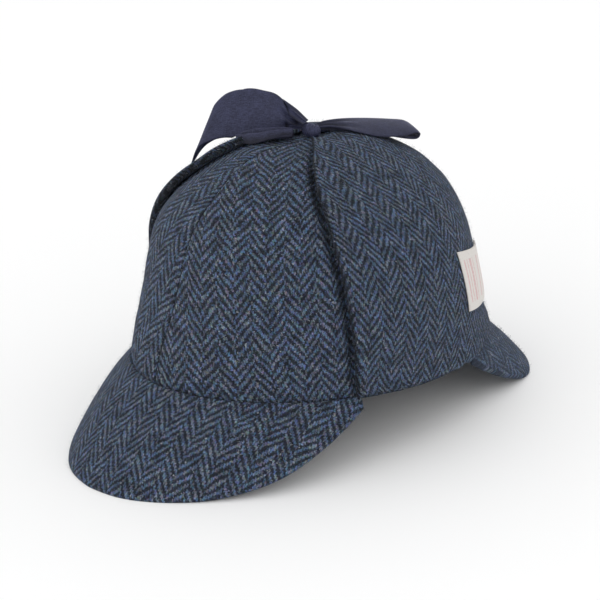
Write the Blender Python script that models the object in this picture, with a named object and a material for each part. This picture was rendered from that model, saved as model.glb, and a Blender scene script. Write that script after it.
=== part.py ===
"""Deerstalker hat: tweed crown of four panels, a peak front and back, and two ear flaps
folded up and tied with a ribbon bow on top.  Run with: blender --background --python part.py

Metres, +Z up.  The hat faces -Y, the wearer's left is +X.  Every piece is shaped about the
crown's rim plane and then hangs from one empty, which sets the hat down on its two peaks.
"""
import math

import bmesh
import bpy
from mathutils import Vector

# Crown
RIM_HALF_LENGTH = 0.104
RIM_HALF_WIDTH = 0.087
CROWN_HEIGHT = 0.118
CROWN_WALL = 0.0022
RIM_BACK_RISE = 0.006
RIM_RISE_FROM = math.radians(30)
SEAM_GAP = 0.0003

# Peaks: cloth over a stiff board, sewn in under the rim
FRONT_PEAK_WIDTH = 0.066
FRONT_PEAK_HALF_SPAN = math.radians(74.5)
FRONT_PEAK_THICK = 0.0036
FRONT_PEAK_CAMBER = 0.0025
BACK_PEAK_WIDTH = 0.040
BACK_PEAK_HALF_SPAN = math.radians(56)
BACK_PEAK_THICK = 0.0036
BACK_PEAK_CAMBER = 0.0012
PEAK_EDGE_THICK_SHARE = 0.5
PEAK_FLAT_CORNER_SHARE = 0.5
REST_FLAT_DEPTH = 0.0017

# Ear flaps: two layers of tweed, folded up against the crown
FLAP_THICK = 0.0040
FLAP_EDGE_TUCK_SHARE = 0.28
FLAP_EDGE_STEP_SHARE = 0.018
FLAP_STAND = 0.0007
FLAP_HEM_SHARE = 0.009
FLAP_TOP_SHARE = 0.955
FLAP_COVER = FLAP_STAND + FLAP_THICK + SEAM_GAP

# Label on the left flap
LABEL_LENGTH = 0.046
LABEL_HEIGHT = 0.032
LABEL_THICK = 0.001
LABEL_TURN = math.radians(36)
LABEL_HEIGHT_UP = 0.049
LABEL_LEAN = math.radians(9.1)
LABEL_TILT = math.radians(10)

# Ribbon bow
RIBBON_WIDTH = 0.026
RIBBON_THICK = 0.001
KNOT_LENGTH = 0.011
KNOT_WIDTH = 0.009
KNOT_HEIGHT = 0.0098
KNOT_WAIST_SHARE = 0.12
LARGE_LOOP_REACH = 0.072
LARGE_LOOP_HEADING = math.radians(-160)
FLAT_LOOP_REACH = 0.062
FLAT_LOOP_HEADING = math.radians(72)
TIE_REACH = 0.037
TIE_HEADING = math.radians(-136)

# Crown outline at each height, front, side and back, as shares of the rim's half sizes
CROWN_SECTIONS = (
    # height, front, side, back
    (0.00, 1.00, 1.00, 1.00),
    (0.15, 0.95, 1.02, 0.91),
    (0.30, 0.88, 1.04, 0.84),
    (0.45, 0.83, 1.02, 0.79),
    (0.60, 0.78, 0.96, 0.76),
    (0.73, 0.69, 0.84, 0.71),
    (0.84, 0.57, 0.65, 0.60),
    (0.92, 0.45, 0.47, 0.44),
    (0.975, 0.30, 0.27, 0.28),
    (1.00, 0.00, 0.00, 0.00),
)

# Peaks from the centre to the corner: share of the half span, share of the width, droop
FRONT_PEAK_SECTIONS = (
    # span, width, droop in degrees
    (0.00, 1.00, 49.0),
    (0.17, 0.97, 50.0),
    (0.34, 0.89, 53.5),
    (0.52, 0.77, 56.5),
    (0.68, 0.62, 56.5),
    (0.82, 0.41, 55.0),
    (1.00, 0.10, 54.0),
)
BACK_PEAK_SECTIONS = (
    # span, width, droop in degrees
    (0.00, 1.00, 40.0),
    (0.22, 1.03, 42.5),
    (0.43, 1.03, 43.5),
    (0.62, 0.97, 46.0),
    (0.80, 0.62, 50.0),
    (1.00, 0.09, 55.0),
)

# Free edges of each flap, in degrees from its own side of the head, at each share of its height
FLAP_EDGES = (
    # share, left front, left back, right front, right back
    (0.00, -18.0, 70.0, -20.0, 70.0),
    (0.20, -19.0, 71.0, -26.0, 69.0),
    (0.40, -21.5, 73.0, -33.0, 68.0),
    (0.60, -25.0, 76.0, -40.0, 67.0),
    (0.75, -28.5, 79.0, -46.0, 66.0),
    (0.88, -29.0, 80.0, -49.0, 66.0),
    (1.00, -24.0, 78.0, -50.0, 66.0),
)

# Ribbon runs from the knot: reach out, rise over the knot and side step as shares of the reach,
# lean of the ribbon's width from upright in degrees, and share of the width that is spread out
LARGE_LOOP_PATH = (
    # reach, rise, aside, lean, spread
    (0.080, 0.030, 0.022, 0.0, 0.22),
    (0.19, 0.085, 0.035, -4.0, 0.42),
    (0.36, 0.105, 0.050, -4.0, 0.84),
    (0.55, 0.070, 0.055, 0.0, 0.98),
    (0.73, 0.015, 0.060, 9.0, 1.00),
    (0.89, -0.090, 0.052, 22.0, 1.03),
    (0.95, -0.165, 0.000, 28.0, 1.08),
    (0.89, -0.105, -0.052, 24.0, 1.00),
    (0.73, 0.000, -0.060, 12.0, 0.88),
    (0.55, 0.050, -0.055, 2.0, 0.80),
    (0.36, 0.090, -0.050, -2.0, 0.76),
    (0.19, 0.095, -0.035, 0.0, 0.46),
    (0.080, 0.035, -0.022, 0.0, 0.22),
)
FLAT_LOOP_PATH = (
    # reach, rise, aside, lean, spread
    (0.095, 0.026, 0.000, 90.0, 0.24),
    (0.20, 0.030, 0.000, 90.0, 0.42),
    (0.38, 0.022, 0.000, 90.0, 0.64),
    (0.60, -0.002, 0.000, 90.0, 0.76),
    (0.82, -0.032, 0.000, 90.0, 0.78),
    (0.97, -0.058, 0.000, 90.0, 0.76),
    (1.00, -0.088, 0.000, 90.0, 0.74),
    (0.96, -0.114, 0.000, 90.0, 0.76),
    (0.80, -0.102, 0.000, 90.0, 0.78),
    (0.60, -0.064, 0.000, 90.0, 0.74),
    (0.38, -0.018, 0.000, 90.0, 0.54),
    (0.20, 0.000, 0.000, 90.0, 0.34),
    (0.095, 0.000, 0.000, 90.0, 0.22),
)
TIE_PATH = (
    # reach, height of the mid line over the crown as a share of the flap's cover, spread
    (1.00, 1.15, 0.10),
    (0.86, 1.18, 0.30),
    (0.66, 1.18, 0.34),
    (0.44, 1.14, 0.26),
    (0.22, 0.80, 0.16),
)

# Mesh density
CROWN_RINGS = 20
PANEL_COLUMNS = 10
FLAP_ROWS = 20
FLAP_COLUMNS = 14
PEAK_ROWS = 5
PEAK_COLUMNS = 36
RIBBON_STEPS_PER_ROW = 2
LABEL_CELLS = 4
KNOT_SEGMENTS = 14
KNOT_RINGS = 8

COLOURS = {
    "tweed": (0.060, 0.085, 0.140, 1.0),
    "ribbon": (0.022, 0.023, 0.060, 1.0),
    "label": (0.78, 0.76, 0.72, 1.0),
}
ROUGHNESS = {"tweed": 0.95, "ribbon": 0.55, "label": 0.85}
METALLIC = 0.0
SHARP_ANGLE = math.radians(50)

UP = Vector((0.0, 0.0, 1.0))
SLOPE_STEP = 1e-4


def smooth_row(table, position):
    """Catmull-Rom value of a table's columns at a position counted in rows."""
    last = len(table) - 1
    index = min(max(int(position), 0), last - 1)
    part = position - index

    def row(number):
        if number < 0:
            return [2 * a - b for a, b in zip(table[0], table[1])]
        if number > last:
            return [2 * a - b for a, b in zip(table[last], table[last - 1])]
        return table[number]

    rows = (row(index - 1), row(index), row(index + 1), row(index + 2))
    return [
        0.5 * (2 * b + (c - a) * part + (2 * a - 5 * b + 4 * c - d) * part ** 2
               + (3 * b - a - 3 * c + d) * part ** 3)
        for a, b, c, d in zip(*rows)
    ]


def look_up(table, key):
    """Straight-line value of a table's columns where its first column equals key."""
    for low, high in zip(table, table[1:]):
        if key <= high[0]:
            part = (key - low[0]) / (high[0] - low[0])
            return [a + (b - a) * part for a, b in zip(low[1:], high[1:])]
    return list(table[-1][1:])


def crown_point(share, turn):
    """Outer face of the crown: share 0 at the rim to 1 at the top, turn from the left side."""
    height, front, side, back = smooth_row(CROWN_SECTIONS, share * (len(CROWN_SECTIONS) - 1))
    end = front if math.sin(turn) < 0 else back
    weight = math.sin(turn) ** 2
    radius = side * (1 - weight) + end * weight
    rise = rim_rise(turn)
    return Vector((
        RIM_HALF_WIDTH * radius * math.cos(turn),
        RIM_HALF_LENGTH * radius * math.sin(turn),
        rise + (CROWN_HEIGHT - rise) * height,
    ))


def rim_rise(turn):
    """The rim is level at the front and sides and lifts at the back of the head."""
    start = math.sin(RIM_RISE_FROM)
    part = max(0.0, (math.sin(turn) - start) / (1 - start))
    return RIM_BACK_RISE * part * part * (3 - 2 * part)


def crown_normal(share, turn):
    """Outward direction of the crown's face."""
    share = min(share, 1 - 20 * SLOPE_STEP)
    along = crown_point(share + SLOPE_STEP, turn) - crown_point(share - SLOPE_STEP, turn)
    around = crown_point(share, turn + SLOPE_STEP) - crown_point(share, turn - SLOPE_STEP)
    return around.cross(along).normalized()


def over_crown(share, turn, distance):
    """A point the given distance outside the crown's face."""
    return crown_point(share, turn) + crown_normal(share, turn) * distance


def closed_wall(name, outer, inner, material):
    """Closed solid between two grids of points of the same size."""
    mesh = bmesh.new()
    rows, columns = len(outer), len(outer[0])
    top = [[mesh.verts.new(point) for point in row] for row in outer]
    low = [[mesh.verts.new(point) for point in row] for row in inner]
    for r in range(rows - 1):
        for c in range(columns - 1):
            mesh.faces.new((top[r][c], top[r][c + 1], top[r + 1][c + 1], top[r + 1][c]))
            mesh.faces.new((low[r][c], low[r + 1][c], low[r + 1][c + 1], low[r][c + 1]))
    for c in range(columns - 1):
        mesh.faces.new((top[0][c], low[0][c], low[0][c + 1], top[0][c + 1]))
        mesh.faces.new((top[-1][c], top[-1][c + 1], low[-1][c + 1], low[-1][c]))
    for r in range(rows - 1):
        mesh.faces.new((top[r][0], top[r + 1][0], low[r + 1][0], low[r][0]))
        mesh.faces.new((top[r][-1], low[r][-1], low[r + 1][-1], top[r + 1][-1]))
    return finish_mesh(name, mesh, material)


def finish_mesh(name, mesh, material):
    """Weld, turn the faces outward, shade smooth and hang the piece from the hat."""
    bmesh.ops.remove_doubles(mesh, verts=mesh.verts, dist=1e-6)
    bmesh.ops.dissolve_degenerate(mesh, edges=mesh.edges, dist=1e-7)
    bmesh.ops.recalc_face_normals(mesh, faces=mesh.faces)
    data = bpy.data.meshes.new(name)
    mesh.to_mesh(data)
    mesh.free()
    data.shade_smooth()
    data.set_sharp_from_angle(angle=SHARP_ANGLE)
    data.materials.append(piece_material(name, material))
    piece = bpy.data.objects.new(name, data)
    bpy.context.scene.collection.objects.link(piece)
    piece.parent = bpy.data.objects["hat"]
    return piece


def piece_material(name, kind):
    material = bpy.data.materials.new(name)
    material.use_nodes = True
    shader = material.node_tree.nodes["Principled BSDF"]
    shader.inputs["Base Color"].default_value = COLOURS[kind]
    shader.inputs["Roughness"].default_value = ROUGHNESS[kind]
    shader.inputs["Metallic"].default_value = METALLIC
    material.diffuse_color = COLOURS[kind]
    return material


def crown_panel(name, first_turn):
    """One quarter of the crown, moved off the two seams by half the seam gap."""
    middle = first_turn + math.pi / 4
    aside = Vector((math.copysign(SEAM_GAP / 2, math.cos(middle)),
                    math.copysign(SEAM_GAP / 2, math.sin(middle)), 0))
    outer, inner = [], []
    for ring in range(CROWN_RINGS + 1):
        share = ring / CROWN_RINGS
        outer_row, inner_row = [], []
        for column in range(PANEL_COLUMNS + 1):
            turn = first_turn + math.pi / 2 * column / PANEL_COLUMNS
            point = crown_point(share, turn)
            inside = point - crown_normal(share, turn) * CROWN_WALL
            if ring == 0:
                inside.z = point.z
            if ring == CROWN_RINGS:
                inside = Vector((0, 0, point.z - CROWN_WALL))
            if column == 0 or column == PANEL_COLUMNS:
                inside = on_seam(inside, turn)
            outer_row.append(point + aside)
            inner_row.append(inside + aside)
        outer.append(outer_row)
        inner.append(inner_row)
    return closed_wall(name, outer, inner, "tweed")


def on_seam(point, turn):
    """Keep a panel's edge in the seam's own upright plane."""
    if abs(math.cos(turn)) < 0.5:
        return Vector((0, point.y, point.z))
    return Vector((point.x, 0, point.z))


def peak_edge(sections, half_span, width, middle_turn, across):
    """Root turn and outer edge of a peak, across from -1 to 1."""
    share, spread, droop = smooth_row(sections, abs(across) * (len(sections) - 1))
    turn = middle_turn + math.copysign(share * half_span, across)
    outward = Vector((RIM_HALF_WIDTH * math.cos(turn), RIM_HALF_LENGTH * math.sin(turn), 0))
    root = outward + UP * (rim_rise(turn) - SEAM_GAP)
    outward.normalize()
    droop = math.radians(droop)
    reach = width * spread
    edge = root + outward * reach * math.cos(droop) - UP * reach * math.sin(droop)
    normal = outward * math.sin(droop) + UP * math.cos(droop)
    return root, edge, normal


def peak_grids(sections, half_span, width, thick, camber, middle_turn):
    """Upper and lower faces of a peak, before it is set down."""
    upper, lower = [], []
    for column in range(PEAK_COLUMNS + 1):
        across = 2 * column / PEAK_COLUMNS - 1
        root, edge, normal = peak_edge(sections, half_span, width, middle_turn, across)
        bulge = camber * min(1.0, (edge - root).length / (PEAK_FLAT_CORNER_SHARE * width))
        upper_row, lower_row = [], []
        for row in range(PEAK_ROWS + 1):
            part = row / PEAK_ROWS
            point = root.lerp(edge, part) + normal * bulge * 4 * part * (1 - part)
            skin = thick * (PEAK_EDGE_THICK_SHARE if row == PEAK_ROWS else 1.0)
            drop = (thick - skin) / 2
            upper_row.append(point - normal * drop)
            lower_row.append(point - normal * (drop + skin))
        upper.append(upper_row)
        lower.append(lower_row)
    return upper, lower


def both_peaks():
    front = peak_grids(FRONT_PEAK_SECTIONS, FRONT_PEAK_HALF_SPAN, FRONT_PEAK_WIDTH,
                       FRONT_PEAK_THICK, FRONT_PEAK_CAMBER, -math.pi / 2)
    back = peak_grids(BACK_PEAK_SECTIONS, BACK_PEAK_HALF_SPAN, BACK_PEAK_WIDTH,
                      BACK_PEAK_THICK, BACK_PEAK_CAMBER, math.pi / 2)
    return {"front_peak": front, "back_peak": back}


def rest_pose(peaks):
    """Pitch and lift that set the hat down on both peaks, pressed in by the flat depth."""
    points = {name: [p for grid in grids for row in grid for p in row]
              for name, grids in peaks.items()}
    pitch = 0.0
    for _ in range(20):
        lows = {name: min(group, key=lambda p: height_over(p, pitch, 0))
                for name, group in points.items()}
        front, back = lows["front_peak"], lows["back_peak"]
        pitch = math.atan2(back.z - front.z, back.y - front.y)
    lowest = min(height_over(p, pitch, 0) for group in points.values() for p in group)
    return pitch, -(lowest + REST_FLAT_DEPTH)


def height_over(point, pitch, lift):
    """Height over the table of a point of the hat, once it is set down."""
    return point.z * math.cos(pitch) - point.y * math.sin(pitch) + lift


def pressed(point, pitch, lift):
    """A point below the table comes up to it."""
    below = min(0.0, height_over(point, pitch, lift))
    return point - Vector((0, -math.sin(pitch), math.cos(pitch))) * below


def peak(name, grids, pitch, lift):
    upper, lower = ([[pressed(p, pitch, lift) for p in row] for row in grid] for grid in grids)
    return closed_wall(name, upper, lower, "tweed")


def flap_place(row_share, column_share, side):
    """Place on the crown of a point of a flap, as if it were the left one."""
    edges = look_up(FLAP_EDGES, row_share)
    front, back = edges[:2] if side > 0 else edges[2:]
    turn = math.radians(front + (back - front) * column_share)
    return FLAP_HEM_SHARE + row_share * (FLAP_TOP_SHARE - FLAP_HEM_SHARE), turn


def flap(name, side):
    """Ear flap with rolled edges; side is 1 on the wearer's left and -1 on the right."""
    roll_rows = edge_steps(FLAP_ROWS)
    roll_columns = edge_steps(FLAP_COLUMNS)
    outer, inner = [], []
    for row_share, row_end in roll_rows:
        outer_row, inner_row = [], []
        for column_share, column_end in roll_columns:
            share, turn = flap_place(row_share, column_share, side)
            tuck = FLAP_THICK * FLAP_EDGE_TUCK_SHARE if row_end or column_end else 0.0
            top = over_crown(share, turn, FLAP_STAND + FLAP_THICK - tuck)
            low = over_crown(share, turn, FLAP_STAND + tuck)
            outer_row.append(mirrored(top, side))
            inner_row.append(mirrored(low, side))
        outer.append(outer_row)
        inner.append(inner_row)
    return closed_wall(name, outer, inner, "tweed")


def edge_steps(count):
    """Shares from 0 to 1 with one short step at each end, and whether each is an end."""
    middle = 1 - 2 * FLAP_EDGE_STEP_SHARE
    inner_steps = [FLAP_EDGE_STEP_SHARE + middle * n / (count - 2) for n in range(count - 1)]
    return [(0.0, True)] + [(s, False) for s in inner_steps] + [(1.0, True)]


def mirrored(point, side):
    return Vector((point.x * side, point.y, point.z))


def label(name):
    """Woven label, laid on the left flap and turned a little, so that its rear end is lower."""
    share = label_share()
    here = crown_point(share, LABEL_TURN)
    around = (crown_point(share, LABEL_TURN + SLOPE_STEP) - here).length / SLOPE_STEP
    along = (crown_point(share + SLOPE_STEP, LABEL_TURN) - here).length / SLOPE_STEP
    outer, inner = [], []
    for row in range(LABEL_CELLS + 1):
        level = LABEL_HEIGHT * (row / LABEL_CELLS - 0.5)
        outer_row, inner_row = [], []
        for column in range(LABEL_CELLS + 1):
            aside = LABEL_LENGTH * (column / LABEL_CELLS - 0.5) - level * math.tan(LABEL_LEAN)
            up = level - (aside + LABEL_LENGTH / 2) * math.tan(LABEL_TILT)
            place = (share + up / along, LABEL_TURN + aside / around)
            outer_row.append(over_crown(*place, FLAP_COVER + LABEL_THICK))
            inner_row.append(over_crown(*place, FLAP_COVER))
        outer.append(outer_row)
        inner.append(inner_row)
    return closed_wall(name, outer, inner, "label")


def label_share():
    """Share of the profile at the label's height."""
    low, high = 0.0, 1.0
    for _ in range(30):
        middle = (low + high) / 2
        if crown_point(middle, LABEL_TURN).z < LABEL_HEIGHT_UP:
            low = middle
        else:
            high = middle
    return low


def knot_centre():
    return Vector((0, 0, CROWN_HEIGHT + SEAM_GAP + KNOT_HEIGHT / 2))


def knot(name):
    """Wrapped knot: a rounded lump, narrower at its waist."""
    mesh = bmesh.new()
    bmesh.ops.create_uvsphere(mesh, u_segments=KNOT_SEGMENTS, v_segments=KNOT_RINGS, radius=0.5)
    heading = LARGE_LOOP_HEADING
    for vertex in mesh.verts:
        flat = vertex.co
        waist = 1 - KNOT_WAIST_SHARE * math.cos(math.pi * flat.x * 2) ** 2
        long, wide = flat.x * KNOT_LENGTH, flat.y * KNOT_WIDTH * waist
        vertex.co = knot_centre() + Vector((
            long * math.cos(heading) - wide * math.sin(heading),
            long * math.sin(heading) + wide * math.cos(heading),
            flat.z * KNOT_HEIGHT * waist,
        ))
    return finish_mesh(name, mesh, "ribbon")


def ribbon(name, stations):
    """Closed flat band through stations of centre, half width and face direction."""
    half = RIBBON_THICK / 2
    outer = [[c - w + n * half, c + n * half, c + w + n * half] for c, w, n in stations]
    inner = [[c - w - n * half, c - n * half, c + w - n * half] for c, w, n in stations]
    return closed_wall(name, outer, inner, "ribbon")


def loop_stations(path, reach, heading, on_edge):
    """Centres, half widths and faces along a loop that leaves the knot and comes back."""
    out = Vector((math.cos(heading), math.sin(heading), 0))
    side = UP.cross(out)
    count = (len(path) - 1) * RIBBON_STEPS_PER_ROW
    rows = [smooth_row(path, n / RIBBON_STEPS_PER_ROW) for n in range(count + 1)]
    centres = [knot_centre() + (out * r[0] + UP * r[1] + side * r[2]) * reach for r in rows]
    stations = []
    for number, (centre, row) in enumerate(zip(centres, rows)):
        before = centres[max(number - 1, 0)]
        after = centres[min(number + 1, count)]
        travel = (after - before).normalized()
        lean = math.radians(row[3])
        lean_to = -out if on_edge else side
        spread = UP * math.cos(lean) + lean_to * math.sin(lean)
        spread = spread * row[4] * RIBBON_WIDTH / 2
        face = travel.cross(spread).normalized()
        stations.append((centre + UP * lift_off_flaps(centre, spread, face), spread, face))
    return stations


def lift_off_flaps(centre, spread, face):
    """How far a ribbon's cross section comes up so that it lies on the flaps, not in them."""
    lift = 0.0
    for across in (-1, 1):
        for through in (-0.5, 0.5):
            corner = centre + spread * across + face * through * RIBBON_THICK
            lift = max(lift, flap_top_under(corner) - corner.z)
    return lift


def flap_top_under(point):
    """Height of the flaps' cover over the crown, under a point near the top."""
    share, turn = place_under(point)
    return crown_point(share, turn).z + FLAP_COVER / crown_normal(share, turn).z


def tie_stations():
    """Gathered tie that lies on the right flap and runs in to the knot."""
    stations = []
    count = (len(TIE_PATH) - 1) * RIBBON_STEPS_PER_ROW
    out = Vector((math.cos(TIE_HEADING), math.sin(TIE_HEADING), 0))
    side = UP.cross(out)
    for number in range(count + 1):
        reach, rise, spread = smooth_row(TIE_PATH, number / RIBBON_STEPS_PER_ROW)
        share, turn = place_under(out * reach * TIE_REACH)
        height = FLAP_COVER * rise
        normal = crown_normal(share, turn)
        across = (side - normal * side.dot(normal)).normalized()
        stations.append((over_crown(share, turn, height),
                         across * spread * RIBBON_WIDTH / 2, normal))
    return stations


def place_under(point):
    """Share and turn of the crown's face below a point near its top."""
    turn = math.atan2(point.y / RIM_HALF_LENGTH, point.x / RIM_HALF_WIDTH)
    target = math.hypot(point.x, point.y)
    low, high = 0.5, 1.0
    for _ in range(30):
        middle = (low + high) / 2
        if math.hypot(*crown_point(middle, turn).xy) > target:
            low = middle
        else:
            high = middle
    return low, turn


def footprint_middle(hat):
    """Middle of the hat's box seen from above."""
    points = [piece.matrix_world @ vertex.co
              for piece in hat.children for vertex in piece.data.vertices]
    return Vector((
        (min(p.x for p in points) + max(p.x for p in points)) / 2,
        (min(p.y for p in points) + max(p.y for p in points)) / 2,
        0,
    ))


def clear_scene():
    for old in list(bpy.data.objects):
        bpy.data.objects.remove(old)


def main():
    clear_scene()
    hat = bpy.data.objects.new("hat", None)
    bpy.context.scene.collection.objects.link(hat)
    peaks = both_peaks()
    pitch, lift = rest_pose(peaks)
    crown_panel("crown_front_left", -math.pi / 2)
    crown_panel("crown_back_left", 0.0)
    crown_panel("crown_back_right", math.pi / 2)
    crown_panel("crown_front_right", math.pi)
    for name, grids in peaks.items():
        peak(name, grids, pitch, lift)
    flap("left_ear_flap", 1)
    flap("right_ear_flap", -1)
    label("label")
    knot("bow_knot")
    ribbon("bow_large_loop",
           loop_stations(LARGE_LOOP_PATH, LARGE_LOOP_REACH, LARGE_LOOP_HEADING, on_edge=True))
    ribbon("bow_flat_loop",
           loop_stations(FLAT_LOOP_PATH, FLAT_LOOP_REACH, FLAT_LOOP_HEADING, on_edge=False))
    ribbon("right_flap_tie", tie_stations())
    hat.rotation_euler = (-pitch, 0, 0)
    bpy.context.view_layer.update()
    middle = footprint_middle(hat)
    hat.location = (-middle.x, -middle.y, lift)
    bpy.context.view_layer.update()


main()
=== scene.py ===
"""Deerstalker hat in herringbone tweed: the cloth, ribbon, label and stage around its frame.

Laid out as an add-on, and run as a script: main() makes every piece in order.  Metres, +Z up,
the hat faces -Y.  Shapes are worked out about the rim's own plane, and then set down on the
two peaks as the frame's crown is.
"""
import math

import bmesh
import bpy
import numpy as np
from bpy.props import FloatProperty, FloatVectorProperty, IntProperty, PointerProperty
from mathutils import Matrix, Vector


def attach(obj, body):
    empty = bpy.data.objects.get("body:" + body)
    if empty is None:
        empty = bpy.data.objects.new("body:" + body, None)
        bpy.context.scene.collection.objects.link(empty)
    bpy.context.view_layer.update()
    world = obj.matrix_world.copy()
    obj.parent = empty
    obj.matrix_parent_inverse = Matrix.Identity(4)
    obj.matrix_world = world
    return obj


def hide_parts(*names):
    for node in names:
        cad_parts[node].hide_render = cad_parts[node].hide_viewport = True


bl_info = {
    "name": "Herringbone Deerstalker",
    "version": (1, 0, 0),
    "blender": (4, 5, 0),
    "location": "3D View > Sidebar > Deerstalker",
    "description": "Makes the cloth, ribbon bow, label and stage of a deerstalker hat",
    "category": "Add Mesh",
}

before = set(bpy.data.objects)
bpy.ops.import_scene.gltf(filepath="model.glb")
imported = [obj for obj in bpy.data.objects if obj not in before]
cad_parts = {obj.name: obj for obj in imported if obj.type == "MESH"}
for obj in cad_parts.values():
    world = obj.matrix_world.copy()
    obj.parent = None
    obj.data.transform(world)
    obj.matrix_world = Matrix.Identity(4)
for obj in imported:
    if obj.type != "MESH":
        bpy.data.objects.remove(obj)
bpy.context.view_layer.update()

# Crown outline at each height, front, side and back, as shares of the rim's half sizes
CROWN_SECTIONS = (
    # height, front, side, back
    (0.00, 1.00, 1.00, 1.00),
    (0.15, 0.95, 1.02, 0.91),
    (0.30, 0.88, 1.04, 0.84),
    (0.45, 0.83, 1.02, 0.79),
    (0.60, 0.78, 0.96, 0.76),
    (0.73, 0.69, 0.84, 0.71),
    (0.84, 0.57, 0.65, 0.60),
    (0.92, 0.45, 0.47, 0.44),
    (0.975, 0.30, 0.27, 0.28),
    (1.00, 0.00, 0.00, 0.00),
)

# Peaks from the centre to the corner: share of the half span, share of the width, droop
FRONT_PEAK_SECTIONS = (
    # span, width, droop in degrees
    (0.00, 1.00, 49.0),
    (0.17, 0.97, 50.0),
    (0.34, 0.89, 53.5),
    (0.52, 0.77, 56.5),
    (0.68, 0.62, 56.5),
    (0.82, 0.41, 55.0),
    (1.00, 0.10, 54.0),
)
BACK_PEAK_SECTIONS = (
    # span, width, droop in degrees
    (0.00, 1.00, 40.0),
    (0.22, 1.03, 42.5),
    (0.43, 1.03, 43.5),
    (0.62, 0.97, 46.0),
    (0.80, 0.62, 50.0),
    (1.00, 0.09, 55.0),
)

# Free edges of each flap, in degrees from its own side of the head
FLAP_EDGES = (
    # share of the height, left front, left back, right front, right back
    (0.00, -18.0, 70.0, -20.0, 70.0),
    (0.20, -19.0, 71.0, -26.0, 69.0),
    (0.40, -21.5, 73.0, -33.0, 68.0),
    (0.60, -25.0, 76.0, -40.0, 67.0),
    (0.75, -28.5, 79.0, -46.0, 66.0),
    (0.88, -29.0, 80.0, -49.0, 66.0),
    (1.00, -24.0, 78.0, -50.0, 66.0),
)

# Ribbon runs from the knot: reach, rise and side step as shares of the loop's reach, lean of
# the ribbon's width from upright in degrees, and share of the width that is spread out
LARGE_LOOP_PATH = (
    # reach, rise, aside, lean, spread
    (0.030, -0.012, 0.010, 0.0, 0.16),
    (0.150, 0.030, 0.020, -4.0, 0.44),
    (0.230, 0.078, 0.058, -4.0, 0.74),
    (0.36, 0.088, 0.056, -4.0, 0.84),
    (0.55, 0.063, 0.057, 0.0, 0.98),
    (0.73, 0.010, 0.060, 9.0, 1.00),
    (0.89, -0.090, 0.052, 22.0, 1.03),
    (0.95, -0.165, 0.000, 28.0, 1.08),
    (0.89, -0.105, -0.052, 24.0, 1.00),
    (0.73, -0.010, -0.060, 12.0, 0.88),
    (0.55, 0.030, -0.055, 2.0, 0.78),
    (0.36, 0.048, -0.050, -2.0, 0.70),
    (0.19, 0.050, -0.030, 0.0, 0.46),
    (0.030, -0.012, -0.010, 0.0, 0.16),
)
FLAT_LOOP_PATH = (
    # reach, rise, aside, lean, spread
    (0.040, -0.004, 0.000, 90.0, 0.18),
    (0.20, 0.022, 0.000, 90.0, 0.42),
    (0.38, 0.024, 0.000, 90.0, 0.66),
    (0.60, 0.002, 0.000, 90.0, 0.80),
    (0.82, -0.022, 0.000, 90.0, 0.82),
    (0.950, -0.042, 0.000, 90.0, 0.78),
    (1.00, -0.092, 0.000, 90.0, 0.76),
    (0.955, -0.148, 0.000, 90.0, 0.76),
    (0.80, -0.125, 0.000, 90.0, 0.70),
    (0.60, -0.064, 0.000, 90.0, 0.62),
    (0.38, -0.018, 0.000, 90.0, 0.46),
    (0.20, -0.004, 0.000, 90.0, 0.30),
    (0.040, -0.014, 0.000, 90.0, 0.18),
)
TIE_PATH = (
    # reach, height of the mid line over the crown as a share of the flap's cover, aside, spread
    (1.00, 1.10, 0.06, 0.03),
    (0.86, 1.20, 0.09, 0.24),
    (0.66, 1.26, 0.13, 0.42),
    (0.44, 1.24, 0.15, 0.42),
    (0.20, 0.95, 0.12, 0.28),
)

# Each piece of ribbon: how deep its painted shade is from 0 to 1, depth of its pleats, the seed
# of its unevenness, and whether it is kept off the cloth under it
RIBBONS = {
    # painted shade, depth, seed, kept off
    "bow_large_loop": (0.0, 0.0019, 1, True),
    "bow_flat_loop": (0.42, 0.0012, 2, True),
    "right_flap_tie": (0.18, 0.0020, 3, False),
}

# Deep folds beside the knot: middle and slant along the ribbon, which edge they open to (0 for
# both), reach and depth of painted shade, and then how far the cloth goes in there
FOLDS = {
    "bow_large_loop": ((0.047, 0.068, 0, 0.013, 0.85), (0.104, 0.0, -1, 0.017, 0.80)),
    "bow_flat_loop": (),
    "right_flap_tie": (),
}
FOLD_IN = (-0.0010, 0.0007, 0.0)

# Where an edge of each ribbon is pulled off its path: middle and reach along the ribbon, which
# edge, and how far
PULLS = {
    "bow_large_loop": (
        (0.538, 0.045, -1, (-0.0017, -0.0022, -0.0089)),
        (0.260, 0.080, -1, (0.0, 0.0, -0.0045)),
    ),
    "bow_flat_loop": ((0.27, 0.150, -1, (0.0, 0.0, -0.0050)),),
    "right_flap_tie": ((0.45, 0.350, 1, (0.0010, -0.0015, -0.0030)),),
}

# Pleats across a ribbon where it's gathered: how many half waves, the spread where they start,
# and over how much spread they grow to their full depth
PLEATS = 2.5
PLEATS_FROM = 0.76
PLEATS_OVER = 0.40

# Names of the crown's panels, the turn where each one starts, and how far the cloth's columns
# lean from its middle line
CROWN_PANELS = (
    ("crown_front_left", -math.pi / 2, math.radians(5.5)),
    ("crown_back_left", 0.0, math.radians(-5.5)),
    ("crown_back_right", math.pi / 2, math.radians(5.5)),
    ("crown_front_right", math.pi, math.radians(-5.5)),
)

# Steamed width of the crown's cloth: degrees from the front, and cloth used up per metre
PANEL_EASE = (
    # degrees, share
    (0.0, 0.78), (25.0, 0.80), (45.0, 0.95), (70.0, 1.05), (180.0, 1.05),
)

# Plain rules woven along the label: place from its middle and width
LABEL_RULES = (
    # offset, width
    (-0.0190, 0.0012), (-0.0158, 0.0008), (-0.0118, 0.0026), (-0.0078, 0.0008),
    (0.0000, 0.0020),
    (0.0078, 0.0008), (0.0118, 0.0026), (0.0158, 0.0008), (0.0190, 0.0012),
)

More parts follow.
